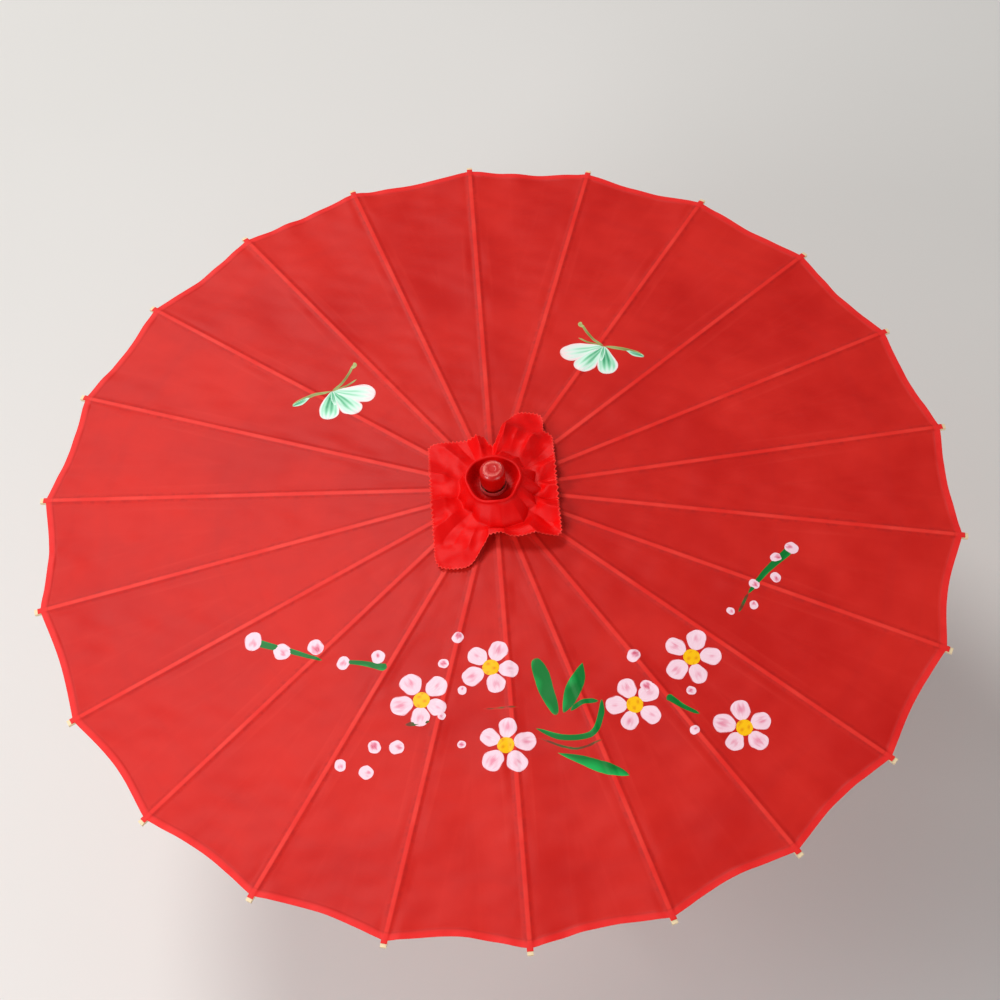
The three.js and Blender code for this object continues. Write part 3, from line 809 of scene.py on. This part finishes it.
class Painting:
    """Brush dabs on the cloth, each a thin closed patch that follows it."""

    def __init__(self):
        self.dabs = []
        self.draw = random.Random(17)

    def stroke(self, points, width, profile, colours, layer=0, cover=1.0, streaky=0.5, wobble=0.06):
        """A dab along points in mm; colours(u, v) gives its colour along and across it."""
        points = np.array(points, float) * MM
        width *= MM
        length = np.linalg.norm(np.diff(points, axis=0), axis=1).sum()
        rows = max(7, int(length / PAINT_STEP) + 1)
        columns = max(5, int(width / PAINT_STEP) + 1)
        # Closer rows near the ends keep the outline round.
        u = (1 - np.cos(np.linspace(0, math.pi, rows))) / 2
        path = smooth_path(points, 200)
        at = np.linspace(0, 1, 200)
        line = np.stack([np.interp(u, at, path[:, k]) for k in (0, 1)], -1)
        ahead = np.gradient(line, axis=0)
        ahead /= np.linalg.norm(ahead, axis=1, keepdims=True)
        left = np.stack([-ahead[:, 1], ahead[:, 0]], -1)
        v = np.linspace(-1, 1, columns)
        phase = self.draw.uniform(0, 6)
        uneven = 1 + wobble * np.sin(u * 9 + phase)[:, None] * np.sign(v)[None, :]
        half = np.maximum(profile(u), 0.03)[:, None] * width / 2 * uneven
        grid = line[:, None, :] + left[:, None, :] * (v[None, :] * half)[..., None]
        uu, vv = np.meshgrid(u, v, indexing="ij")
        inside = np.clip(np.minimum(1 - np.abs(vv), 2.2 * np.minimum(uu, 1 - uu)) * 3, 0, 1)
        self.dabs.append({
            "x": grid[..., 0].ravel(), "y": grid[..., 1].ravel(), "rows": rows, "columns": columns,
            "colour": colours(uu, vv).reshape(-1, 3), "cover": (inside * 0.6 + 0.4).ravel() * cover,
            "inside": inside.ravel(), "streaky": streaky, "layer": layer + 0.01 * len(self.dabs),
            "u": (vv * width / 2).ravel(), "v": (uu * length + 0.05 * len(self.dabs)).ravel(),
        })

    def round_dab(self, x, y, step, width, colours, layer, cover, streaky):
        centre = np.array([x, y])
        ends = [centre - step, centre, centre + step]
        self.stroke(ends, width, oval, colours, layer, cover, streaky)

    def petal(self, x, y, distance, degrees, whiter):
        turn = math.radians(degrees)
        ahead = unit(turn)
        length = PETAL_LENGTH + distance - PETAL_REACH
        start = np.array([x, y]) + ahead * (distance - length / 2)
        end = start + ahead * length

        def colours(u, v):
            rim = np.clip(np.sqrt((2 * u - 1.1) ** 2 + v ** 2 * oval(u) ** 2), 0, 1)
            strokes = 0.2 * np.sin(v * 12 + whiter * 20) * np.sin(u * 5 + 1)
            return blend_colours(rim * 1.15 + whiter - 0.22 + strokes, BLUSH, PALE, WHITE)
        width = length * self.draw.uniform(0.88, 0.98)
        self.stroke([start, (start + end) / 2, end], width, egg, colours, 1, 1, 0.75)

    def blossom(self, x, y):
        first = self.draw.uniform(0, 360)
        for k in range(PETALS):
            degrees = first + k * 360 / PETALS + self.draw.uniform(-5, 5)
            distance = PETAL_REACH + self.draw.uniform(-1.2, 2.2)
            self.petal(x, y, distance, degrees, self.draw.uniform(0, 0.4))
        for k in range(CENTRE_DABS):
            step = unit(self.draw.uniform(0, math.pi)) * CENTRE_STEP

            def colours(u, v):
                spots = np.sin(u * 9 + k) * np.sin(v * 5 + 2 * k)
                return blend_colours(0.35 + 0.5 * spots, YOLK, YOLK, (244, 172, 0), AMBER)
            self.round_dab(x, y, step, CENTRE_WIDTH, colours, 2 + 0.3 * k, 1.2, 0)

    def bud(self, x, y, radius):
        turn = self.draw.uniform(0, 2 * math.pi)
        step = unit(turn) * radius * self.draw.uniform(0.9, 1.04)
        lean, deep = self.draw.uniform(-0.4, 0.4), self.draw.uniform(-0.2, 0.25)

        def colours(u, v):
            rim = np.sqrt((2 * u - 1 + lean) ** 2 + (v * oval(u)) ** 2)
            strokes = 0.22 * np.sin(v * 8 + turn) * np.sin(u * 9 + deep * 9)
            return blend_colours(rim * 1.25 - deep + strokes, ROSE, BLUSH, WHITE, WHITE)
        self.round_dab(x, y, step, radius * 1.8, colours, 1, 0.96, 0.6)

    def spray(self, start, end, count, radius, swing):
        """Buds along a line, on either side in turn and smaller towards its end."""
        line = end - start
        aside = np.array([-line[1], line[0]]) / np.linalg.norm(line)
        for k in range(count):
            share = k / (count - 1)
            off = 0 if k == 0 else swing * (-1) ** k * self.draw.uniform(0.6, 1.1)
            x, y = start + line * share + aside * off
            self.bud(x, y, radius * (1 - 0.3 * share) * self.draw.uniform(0.8, 1.05))

    def green(self, points, width, profile=taper, light=0.0, cover=1.0, layer=0):
        def colours(u, v):
            return blend_colours(0.25 + 0.35 * v + light + 0.12 * np.sin(u * 14), LEAF, LEAF, FRESH)
        self.stroke(points, width, profile, colours, layer, cover * 1.15, 0)

    def dark(self, points, width, cover=0.62):
        def colours(u, v):
            return blend_colours(0.5 + 0.5 * np.sin(u * 11), MOSS, SHADOW_GREEN)
        self.stroke(points, width, even, colours, 0, cover, 0.0)

    def wing(self, start, end, width, tone, layer, shape=wing, rim=WING_RIM):
        def colours(u, v):
            edge = np.clip(np.maximum(np.abs(v) ** 2.2, (u - 0.1) ** 3 * 1.2), 0, 1)
            streaks = 0.13 * np.sin(v * 13 + u * 3)
            return blend_colours(edge * 0.95 + tone + streaks, TEAL, MINT, MIST, SNOW, rim)
        start, end = np.array(start, float), np.array(end, float)
        self.stroke([start, (start + end) / 2, end], width, shape, colours, layer, 1.05, 0.3)

    def olive(self, points, width, cover=0.95, pale=0.3, layer=3):
        def colours(u, v):
            return blend_colours(pale + 0.4 * np.abs(v) + 0.2 * np.sin(u * 9), OLIVE, DRY_LEAF)
        self.stroke(points, width, even, colours, layer, cover, 0.1)


def paint_branches(p):
    def along(*places):
        return [spot(*place) for place in places]
    p.green(along((14.75, 0.6), (14.3, 0.55), (13.9, 0.52)), 7, stem)
    p.green(along((13.0, 0.46), (13.3, 0.47), (13.7, 0.5)), 7.5, stem, 0.1)
    p.green(along((6.4, 0.64), (6.8, 0.6), (7.2, 0.58)), 8, stem, 0.05)
    p.dark(along((7.2, 0.58), (7.5, 0.58)), 3, 0.85)
    p.green(along((10.4, 0.53), (10.45, 0.46), (10.5, 0.4)), 14, blade, 0.12)
    p.green(along((10.3, 0.53), (10.0, 0.48), (9.75, 0.44)), 13.5, leaf, 0.2)
    p.green(along((9.85, 0.7), (10.1, 0.66), (10.5, 0.61)), 10.5, leaf, 0.45)
    # The vine loops below the two leaves and ends at the nearest blossom.
    loop = along((10.7, 0.55), (10.4, 0.58), (10.05, 0.59), (9.85, 0.56), (9.75, 0.53))
    p.green(loop, 5.2, even, 0.1)
    p.green(along((10.2, 0.53), (10.0, 0.52), (9.8, 0.53)), 4.4, even, 0.0, 0.9)
    p.dark(along((10.7, 0.57), (10.3, 0.61), (9.95, 0.61)), 2.6)
    p.green(along((9.0, 0.59), (8.95, 0.62), (8.85, 0.66)), 7, stem, 0.05)
    p.dark(along((12.4, 0.56), (12.1, 0.54)), 4, 0.85)
    p.dark(along((11.4, 0.5), (10.9, 0.5)), 2.6, 0.45)


def paint_butterfly(p, place, heading, side):
    """Wings fanned about a heading in degrees; side, 1 or -1, turns the whole figure over."""
    body = spot(*place)

    def at(turn, distance):
        return body + distance * unit(math.radians(heading + side * turn))
    for turn, length, width, tone in ((-42, 33, 21, 0.02), (4, 38, 21, 0.17), (40, 41, 23, 0.37)):
        p.wing(body, at(turn, length), width, tone, 1 + tone)
    p.wing(body, at(-26, 20), 6, 0.12, 2.2, leaf)
    p.olive([at(-110, 38), at(-116, 24), body], 3.6, 0.95, 0.35)
    p.wing(at(-108, 38), at(-115, 20), 6.5, 0.0, 3.2, leaf, rim=MIST)
    p.olive([body, at(96, 12), at(104, 24), at(110, 36)], 2.6, 0.95, 0.2)
    p.olive([at(109, 30), at(106, 35), at(111, 37)], 3.4, 0.9, 0.7, 3.3)
    p.olive([body, at(74, 14), at(80, 26)], 2, 0.75, 0.3)


def dab_mesh(dabs, material):
    """One mesh of several dabs, with what the material reads."""
    vertices, faces, colours, cover, streaky, top, u, v = [], [], [], [], [], [], [], []
    for dab in dabs:
        x, y, rows, columns = dab["x"], dab["y"], dab["rows"], dab["columns"]
        height = cloth_height(x, y)
        lift = (0.035 + 0.02 * dab["layer"]) * MM + 0.09 * MM * dab["inside"]
        upper = np.stack([x, y, height + lift], -1)
        lower = np.stack([x, y, height - PAINT_SINK], -1)
        count = sum(len(part) for part in vertices)
        both, quads = slab(upper, lower, rows, columns, True)
        vertices.append(both)
        faces += [[count + corner for corner in quad] for quad in quads]
        colours += [dab["colour"]] * 2
        cover += [dab["cover"]] * 2
        streaky.append(np.full(len(both), dab["streaky"]))
        top += [np.ones(len(x)), np.zeros(len(x))]
        u += [dab["u"]] * 2
        v += [dab["v"]] * 2
    obj = new_object("paint_sheet", np.concatenate(vertices), faces, material)
    colours = np.concatenate(colours)
    store(obj, "dab", np.column_stack([colours, np.ones(len(colours))]), "FLOAT_COLOR")
    for name, values in (("cover", cover), ("streaky", streaky), ("top", top)):
        store(obj, name, np.concatenate(values))
    set_cloth_uv(obj, np.concatenate(u), np.concatenate(v))
    return obj


def cut(mesh, planes, material):
    """Keeps what is on the positive side of each (point, normal) plane, and closes it."""
    edit = bmesh.new()
    edit.from_mesh(mesh)
    for point, normal in planes:
        bmesh.ops.bisect_plane(edit, geom=edit.verts[:] + edit.edges[:] + edit.faces[:], dist=1e-7,
                               plane_co=tuple(point), plane_no=tuple(-normal), clear_outer=True)
        open_edges = [edge for edge in edit.edges if edge.is_boundary]
        if open_edges:
            bmesh.ops.holes_fill(edit, edges=open_edges, sides=0)
    result = bpy.data.meshes.new("cut")
    result.materials.append(material)
    edit.to_mesh(result)
    edit.free()
    return result


def settle_paint(piece):
    """Paint takes the cloth's own normals, so it lies on it without a visible step."""
    mesh = piece.data
    places = np.empty(len(mesh.vertices) * 3, np.float32)
    mesh.vertices.foreach_get("co", places)
    places = places.reshape(-1, 3).astype(float)
    top = np.empty(len(mesh.vertices), np.float32)
    mesh.attributes["top"].data.foreach_get("value", top)
    normals = surface_normals(cloth_height, places[:, 0], places[:, 1])
    mesh.shade_smooth()
    set_normals(piece, normals * np.where(top > 0.25, 1, -1)[:, None])


def add_painting(material):
    """The flowers and butterflies, cut where the cloth's own pieces meet."""
    painting = Painting()
    paint_branches(painting)
    for place in BLOSSOMS:
        painting.blossom(*spot(*place))
    for start, end, count, radius, swing in SPRAYS:
        painting.spray(spot(*start), spot(*end), count, radius, swing)
    paint_butterfly(painting, (19.2, 0.48), -55, 1)
    paint_butterfly(painting, (2.1, 0.48), 230, -1)
    for index in range(RIBS):
        rib = RibFrame(index)
        near = []
        for dab in painting.dabs:
            turn = (np.arctan2(dab["y"], dab["x"]) - rib.angle + math.pi) % (2 * math.pi) - math.pi
            if np.abs(turn).min() < HALF:
                near.append(dab)
        if not near:
            continue
        whole = dab_mesh(near, material)
        borders = {}
        for side in (-1, 1):
            middle = rib.angle + side * HALF
            borders[side] = (np.zeros(3), np.array([math.sin(middle), -math.cos(middle), 0]) * side)
        for side, part in ((-1, "before_"), (0, "on_"), (1, "after_")):
            if side:
                planes = [borders[side], (rib.across * side * STRIP_HALF, rib.across * side),
                          (np.zeros(3), rib.out)]
            else:
                planes = [(rib.across * s * STRIP_HALF, -rib.across * s) for s in (-1, 1)]
                planes.append((np.zeros(3), rib.out))
            mesh = cut(whole.data, planes, material)
            if not mesh.vertices:
                continue
            piece = add_object("paint_" + part + rib.name, mesh)
            settle_paint(piece)
            if side:
                rib.fold(piece)
            else:
                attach(piece, rib.name)
        bpy.data.objects.remove(whole)


# ---------------------------------------------------------------- the collar cloth
TIE_R, TIE_Z = 9.4 * MM, 9.4 * MM  # where the cloth is tied into the finial's neck
RIM_R, RIM_Z = 23.4 * MM, 19.4 * MM  # the rolled fold on top of the cup
FOOT_R = 31.5 * MM  # where the cup's outside meets the skirt
SKIRT_LIFT = 1.5 * MM
SATIN_DEPTH = 0.35 * MM
PINK_PITCH, PINK_DEPTH = 3.4 * MM, 1.1 * MM  # the zigzag of the cut edge
ROLL = 1.4 * MM  # radius of the fold on the cup's rim
CUP_ROWS, RIM_ROWS, WALL_ROWS, SKIRT_ROWS = 16, 10, 16, 34
SECTOR_COLUMNS = 36  # of the skirt, in the share of each rib

COLLAR_SQUARE = 55 * MM  # half the side of the cloth's square, as it lies
COLLAR_CORNER = 75 * MM  # how far its corners reach
COLLAR_FOLD_START = 27 * MM  # where its folds begin, from the axis
# Where the gathered cloth lies longer or shorter: direction in degrees, by how much, half width.
COLLAR_FLAPS = [(66, 27, 13), (242, 22, 14), (88, -9, 6), (268, -4, 9)]
# Folds of the skirt, running outwards: direction in degrees, height and half width in mm.
COLLAR_FOLDS = [
    (-100, -4, 4), (-83, 9, 12), (-58, 9, 9), (-40, -4, 4), (-30, 10, 7), (-16, -5, 3),
    (-6, 9, 6), (6, -4, 4), (20, 9, 6), (34, -4, 4), (52, 9, 6), (66, 7, 9), (76, 15, 7),
    (87, -5, 4), (102, 8, 6), (114, -4, 4), (130, 4, 7), (160, 8, 7), (193, 10, 8), (214, 5, 7),
    (228, -5, 4), (246, 5, 8), (261, 9, 6),
]


def collar_edge(turn):
    """Distance of the cut edge from the axis at each azimuth, before it is pinked."""
    square = COLLAR_SQUARE / np.maximum(np.abs(np.cos(turn)), np.abs(np.sin(turn)))
    edge = np.minimum(square, COLLAR_CORNER)
    for degrees, longer, width in COLLAR_FLAPS:
        away = (np.degrees(turn) - degrees + 180) % 360 - 180
        edge = edge + longer * MM * np.exp(-(away / width) ** 4)
    return edge


def pinking(turn, edge):
    """In and out of the zigzag, by the length along the edge."""
    steps = np.hypot(np.gradient(edge), np.gradient(turn) * edge)
    along = np.cumsum(np.minimum(steps, 1.4 * MM))
    return PINK_DEPTH * (np.abs((along / PINK_PITCH) % 1 * 2 - 1) * 2 - 1)


def fold_heights(x, y):
    """Height that the folds add to the skirt; each ridge or valley is sharp along its own line."""
    total = np.zeros_like(x)
    for degrees, height, width in COLLAR_FOLDS:
        ahead = unit(math.radians(degrees))
        a = ahead * COLLAR_FOLD_START
        line = ahead * (COLLAR_SQUARE - COLLAR_FOLD_START)
        part = np.clip(((x - a[0]) * line[0] + (y - a[1]) * line[1]) / (line @ line), 0, 1.25)
        away = np.hypot(x - a[0] - line[0] * part, y - a[1] - line[1] * part)
        ridge = height * MM * np.exp(-(away / (width * MM)) ** 1.25)
        total += ridge * (0.25 + 0.75 * np.minimum(part * 1.6, 1))
    return total


def collar_grid(turn):
    """Places of the collar's upper face, from the tie over the cup's rim to the cut edge."""
    edge = collar_edge(turn)
    teeth = pinking(turn, edge)
    wander = ripple(np.cos(turn) * 30 * MM, np.sin(turn) * 30 * MM, 34 * MM, 21)
    rim_r = RIM_R + wander * 0.9 * MM
    rim_z = RIM_Z + ripple(np.cos(turn) * 30 * MM, np.sin(turn) * 30 * MM, 46 * MM, 22) * 0.9 * MM
    foot = FOOT_R + (4.2 * np.cos(turn) - 3.2 * np.sin(turn)) * MM + wander * 1.2 * MM
    pleats = fold_heights(42 * MM * np.cos(turn), 42 * MM * np.sin(turn))
    rows_r, rows_z = [], []
    gathers = np.sin(turn * 19 + 2 * np.sin(turn * 3)) + 0.6 * np.sin(turn * 31 + 1)
    for t in np.linspace(0, 1, CUP_ROWS, endpoint=False):
        # The inside of the cup flares from the tie; its gathers fade towards the rim.
        radius = TIE_R + (rim_r - ROLL - TIE_R) * t ** 0.6
        rows_r.append(radius + gathers * 0.35 * MM * (1 - t) ** 1.5 * min(1, t * 6))
        rows_z.append(TIE_Z + (rim_z - TIE_Z) * t ** 2.4)
    for t in np.linspace(0, 1, RIM_ROWS, endpoint=False):
        swing = math.pi * (1 - 1.18 * t)
        rows_r.append(rim_r + ROLL * math.cos(swing))
        rows_z.append(rim_z + ROLL * math.sin(swing))
    last_r, last_z = rows_r[-1], rows_z[-1]
    for t in np.linspace(0, 1, WALL_ROWS + 1)[1:]:
        bulge = math.sin(math.pi * t) * (1.6 + 0.8 * np.sin(-turn)) * MM + pleats * 0.6 * t ** 1.2
        rows_r.append(last_r + (foot - last_r) * t ** 1.5 + bulge)
        rows_z.append(None if t == 1 else last_z + (5.2 * MM - last_z) * t ** 0.92)
    start = rows_r.pop()  # the wall's foot, where the skirt begins
    rows_z.pop()
    for t in np.linspace(0, 1, SKIRT_ROWS):
        rows_r.append(start + (edge - start) * t + teeth * smooth(np.array(t), 0.86, 1))
        rows_z.append(None)
    radius = np.array(rows_r)
    x, y = radius * np.cos(turn), radius * np.sin(turn)
    ground = rib_line_z(radius) - HUB_Z
    out = np.clip((radius - start) / (edge - start), 0, 1)
    folds = fold_heights(x, y)
    crumple = ripple(x, y, 24 * MM, 24) * 0.9 * MM + ripple(x, y, 9 * MM, 25) * 0.14 * MM
    skirt_z = ground + SKIRT_LIFT + 2.2 * MM * (1 - out) ** 2
    skirt_z += np.maximum(folds, -0.4 * MM) * smooth(out, -0.2, 0.55)
    # The edge stands up most at +X and at -Y.
    front = smooth(-y, 20 * MM, 50 * MM) * smooth(x, -14 * MM, 6 * MM)
    lifted = 1.5 + 3.5 * smooth(x, 0, 30 * MM) + 3.5 * front
    skirt_z += (crumple + 0.7 * MM) * smooth(out, 0, 0.3) + lifted * MM * out ** 2
    heights = np.empty_like(radius)
    for row, z in enumerate(rows_z):
        heights[row] = skirt_z[row] if z is None else z
    wall = slice(CUP_ROWS + RIM_ROWS, CUP_ROWS + RIM_ROWS + WALL_ROWS)
    share = np.linspace(0, 1, WALL_ROWS)[:, None]
    fall = heights[wall] + folds[wall] * 0.6 * share + crumple[wall] * 0.5 * share
    joined = skirt_z[CUP_ROWS + RIM_ROWS + WALL_ROWS - 1]
    heights[wall] = fall * (1 - share ** 3) + (joined + (fall - fall[-1])) * share ** 3
    from_edge = edge + teeth - radius
    return x, y, heights + HUB_Z, from_edge


def grid_normals(points):
    """Normals of a closed ring of grid points, rows outwards and columns anticlockwise."""
    outward = np.gradient(points, axis=0)
    around = np.roll(points, -1, axis=1) - np.roll(points, 1, axis=1)
    normals = np.cross(outward, around)
    return normals / np.maximum(np.linalg.norm(normals, axis=-1, keepdims=True), 1e-12)


def satin_piece(name, points, normals, from_edge, turn, material, around=False):
    """A closed thin piece of the collar from part of its grid, and its area."""
    rows, columns = points.shape[:2]
    top = points.reshape(-1, 3)
    lift = normals.reshape(-1, 3)
    bottom = top - lift * SATIN_DEPTH
    if around:
        count, last = rows * columns, (rows - 1) * columns
        faces = grid_faces(rows, columns, 0, True, True)
        faces += grid_faces(rows, columns, count, False, True)
        for c in range(columns):
            d = (c + 1) % columns
            faces.append([c, d, d + count, c + count])
            faces.append([last + d, last + c, last + c + count, last + d + count])
        vertices = np.concatenate([top, bottom])
    else:
        vertices, faces = slab(top, bottom, rows, columns, True)
    piece = new_object(name, vertices, faces, material)
    set_normals(piece, np.concatenate([lift, -lift]))
    store(piece, "from_edge", np.tile(from_edge.ravel(), 2))
    # Painted shade: the cup's inside is darker towards its bottom, fading out before the rim.
    deep = 1 - smooth(np.arange(rows) / CUP_ROWS, 0.35, 1.0) if around else np.zeros(rows)
    store(piece, "in_cup", np.tile(np.repeat(deep, columns), 2))
    radius = np.hypot(points[..., 0], points[..., 1])
    flat = [np.tile((radius * way(turn)).ravel(), 2) for way in (np.cos, np.sin)]
    set_cloth_uv(piece, *flat)
    return piece, sum(face.area for face in piece.data.polygons) / 2


def add_collar(material):
    """The cup stays on the finial; the skirt is cut into one sector for each rib, and all are
    carried by the frame.
    """
    columns = RIBS * SECTOR_COLUMNS
    turn = rib_angle(0) - HALF + 2 * math.pi * np.arange(columns) / columns
    x, y, z, from_edge = collar_grid(turn)
    points = np.stack([x, y, z], -1)
    normals = grid_normals(points)
    fixed = CUP_ROWS + RIM_ROWS
    cup, area = satin_piece("collar_cup", points[:fixed], normals[:fixed], from_edge[:fixed],
                            turn, material, True)
    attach(cup, "frame")
    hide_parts("collar_cloth")
    for sector in range(RIBS):
        first = sector * SECTOR_COLUMNS
        pick = np.arange(first, first + SECTOR_COLUMNS + 1) % columns
        part = points[fixed - 1:, pick]
        piece, area = satin_piece(f"collar_skirt_{sector + 1:02d}", part, normals[fixed - 1:, pick],
                                  from_edge[fixed - 1:, pick], turn[pick], material)
        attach(piece, "frame")
        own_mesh(piece)


TIE_COIL_R, TIE_THREAD, TIE_PITCH, TIE_TURNS = 11.2 * MM, 0.5 * MM, 0.95 * MM, 4
TIE_LOW = HUB_Z + 9.6 * MM
COIL_STEPS, COIL_SIDES = 48, 10  # in a turn of the coil, and round its thread


def add_tie(material):
    """The thread wound round the collar's neck: one closed tube along a helix."""
    steps, sides = TIE_TURNS * COIL_STEPS, COIL_SIDES
    vertices, u, v = [], [], []
    for k in range(steps + 1):
        turn = 2 * math.pi * TIE_TURNS * k / steps
        height = TIE_LOW + TIE_PITCH * TIE_TURNS * k / steps
        out = Vector((math.cos(turn), math.sin(turn), 0))
        for s in range(sides):
            swing = 2 * math.pi * s / sides
            lift = Vector((0, 0, height + TIE_THREAD * math.sin(swing)))
            vertices.append(out * (TIE_COIL_R + TIE_THREAD * math.cos(swing)) + lift)
            u.append(TIE_THREAD * swing)
            v.append(TIE_COIL_R * turn)
    faces = grid_faces(steps + 1, sides, 0, False, True)
    faces.append(list(range(sides)))
    faces.append(list(range(steps * sides, (steps + 1) * sides))[::-1])
    piece = new_object("collar_tie_thread", vertices, faces, material)
    set_cloth_uv(piece, u, v)
    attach(piece, "frame")
    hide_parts("collar_tie")


# ---------------------------------------------------------------- turned and split parts
def turned_piece(name, profile, corner, material, body, replaced, base=0.0):
    """A turned part from a profile in mm, on the shaft's axis; its worn places follow its edges."""
    points = rounded([(r * MM, base + z * MM) for r, z in profile], corner * MM)
    piece = lathe(name, points, material, 128)
    heights = [vertex.co.z for vertex in piece.data.vertices]
    radii = [math.hypot(vertex.co.x, vertex.co.y) for vertex in piece.data.vertices]
    top = max(heights)
    wear = [math.exp(-((r / MM - 6) / 2.4) ** 2) if z > top - 0.4 * MM
            else math.exp(-(top - z) / (1.6 * MM)) * 0.55 for r, z in zip(radii, heights)]
    store(piece, "wear", wear)
    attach(piece, body)
    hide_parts(replaced)


def add_finial(lacquer):
    drum = 11  # radius of the drum above the tie, in mm
    profile = [
        (0, 20.3), (5.8, 20.3), (5.8, 7.3), (8.6, 7.3), (8.6, 13.3), (drum - 0.6, 15.8),
        (drum, 19.3), (drum, 31.4), (drum - 0.5, 33), (drum - 1.6, 34.3), (8.4, 34.9),
        (7.9, 34.75), (7.6, 35.2), (3.4, 35.3), (3, 35.1), (0, 35.1),
    ]
    turned_piece("finial_turned", profile, 0.5, lacquer, "frame", "finial", HUB_Z)


def add_handle(wood, lacquer):
    profile = [(0, -50), (8.6, -50), (9.6, -47)]
    for height in (-36, -33, -30):
        profile += [(9.8, height - 1.1), (9.0, height), (9.8, height + 1.1)]
    profile += [(10.4, -10), (10.4, 12), (9.4, 36), (8.2, 48), (7.4, 50), (5.8, 50), (5.8, -20),
                (0, -20)]
    turned_piece("handle_turned", profile, 0.8, wood, "frame", "handle")
    cap = [(0, -56), (6.4, -56), (7.8, -54.6), (8.2, -51.3), (7.6, -50.3), (0, -50.3)]
    turned_piece("end_cap_turned", cap, 0.7, lacquer, "frame", "end_cap")


NODE_RINGS, RING_WIDTH = (0.22, 0.52, 0.8), 0.9 * MM  # of the bamboo, as shares of a strip
RIB_BEVEL, STRETCHER_BEVEL = 0.35 * MM, 0.3 * MM


def dressed_copy(node, material, u_axis, v_axis, bevel):
    """A fine copy of a split-bamboo part: bevelled edges, and fibres that run along it."""
    name = "bamboo_" + node
    edit = bmesh.new()
    edit.from_mesh(frame["nodes"][node].data)
    bmesh.ops.remove_doubles(edit, verts=edit.verts, dist=1e-6)
    bmesh.ops.dissolve_limit(edit, angle_limit=math.radians(1), verts=edit.verts, edges=edit.edges)
    sharp = [e for e in edit.edges if e.is_manifold and e.calc_face_angle() > math.radians(35)]
    bmesh.ops.bevel(edit, geom=sharp, offset=bevel, segments=2, profile=0.6, affect="EDGES",
                    clamp_overlap=True)
    mesh = bpy.data.meshes.new(name)
    edit.to_mesh(mesh)
    edit.free()
    mesh.materials.clear()
    mesh.materials.append(material)
    piece = add_object(name, mesh)
    sharpen(piece, 28)
    places = np.array([vertex.co for vertex in mesh.vertices])
    u, v = places @ np.asarray(u_axis), places @ np.asarray(v_axis)
    set_cloth_uv(piece, u + 0.7 * places[:, 2], v)
    rings = np.zeros(len(v))
    for place in v.min() + (v.max() - v.min()) * np.array(NODE_RINGS):
        rings = np.maximum(rings, np.exp(-((v - place) / RING_WIDTH) ** 2))
    store(piece, "node_ring", rings)
    store(piece, "fresh_end", smooth(v, v.max() - 6 * MM, v.max() - 3 * MM))
    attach(piece, node)
    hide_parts(node)


def add_lug_pin(rib, bamboo):
    """The pin through a rib's lug that its stretcher turns on, with domed ends."""
    half = [(0, 3.1), (0.45, 3.05), (0.8, 2.85), (0.95, 2.55), (0.95, 2.35), (0.5, 2.3)]
    profile = [(r * MM, -z * MM) for r, z in half] + [(r * MM, z * MM) for r, z in reversed(half)]
    pin = lathe("lug_pin_" + label(rib.index), profile, bamboo, 16)
    place = rib.out * LUG_R + np.array([0, 0, LUG_Z])
    axes = np.column_stack([(0, 0, 1), rib.out, rib.across, place])
    pin.data.transform(Matrix([*axes.tolist(), (0, 0, 0, 1)]))
    places = np.array([vertex.co for vertex in pin.data.vertices])
    set_cloth_uv(pin, places @ rib.along, places @ rib.across)
    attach(pin, rib.name)


def add_ribs(bamboo):
    for index in range(RIBS):
        rib = RibFrame(index)
        add_lug_pin(rib, bamboo)
        dressed_copy(rib.name, bamboo, rib.across, rib.along, RIB_BEVEL)
        low = rib.out * PIVOT_R + np.array([0, 0, RUNNER_Z])
        high = rib.out * LUG_R + np.array([0, 0, LUG_Z])
        ahead = (high - low) / np.linalg.norm(high - low)
        dressed_copy("stretcher_" + label(index), bamboo, rib.across, ahead,
                     STRETCHER_BEVEL)


def add_notches(wood, rod, steel):
    """The CAD's own parts that stay: a better material and softened edges."""
    wooden = {"top_hub": (wood, "notch_wood", 0.25), "runner": (wood, "notch_wood", 0.25),
              "shaft": (rod, "turned_wood", 0.15)}
    metal = ("stop_pin", "catch_pin", "spring_catch", "hub_lacing_wire", "runner_lacing_wire")
    for name in (*wooden, *metal):
        node = frame["nodes"][name]
        material, slot, bevel = wooden.get(name, (steel, None, 0.12))
        node.data.materials.clear()
        node.data.materials.append(material)
        soften = node.modifiers.new("soft_edges", "BEVEL")
        soften.width, soften.segments, soften.limit_method = bevel * MM, 2, "ANGLE"
        if slot:
            soften.angle_limit = math.radians(38)
            sharpen(node, 30)


# ---------------------------------------------------------------- the scene
def main():
    add_camera()
    add_studio()
    add_canopy(canopy_material())
    add_painting(paint_material())
    add_collar(collar_material())
    red_thread = thread_material("tie_thread", linear(150, 10, 12), linear(225, 40, 36))
    add_tie(red_thread)
    lacquer = lacquer_material()
    add_finial(lacquer)
    pale_wood = wood_material("turned_wood", linear(170, 122, 74), linear(206, 162, 108), 0.25)
    add_handle(pale_wood, lacquer)
    add_notches(wood_material("notch_wood", linear(178, 134, 84), linear(212, 174, 122)), pale_wood,
                steel_material("steel", linear(190, 190, 192), 0.35))
    add_ribs(bamboo_material())
    bpy.ops.mesh.primitive_plane_add(size=FLOOR_SIZE, location=(0, 0, cad_low.z - FLOOR_GAP))
    floor = bpy.context.object
    floor.name = "floor"
    floor.data.materials.append(floor_material())


main()
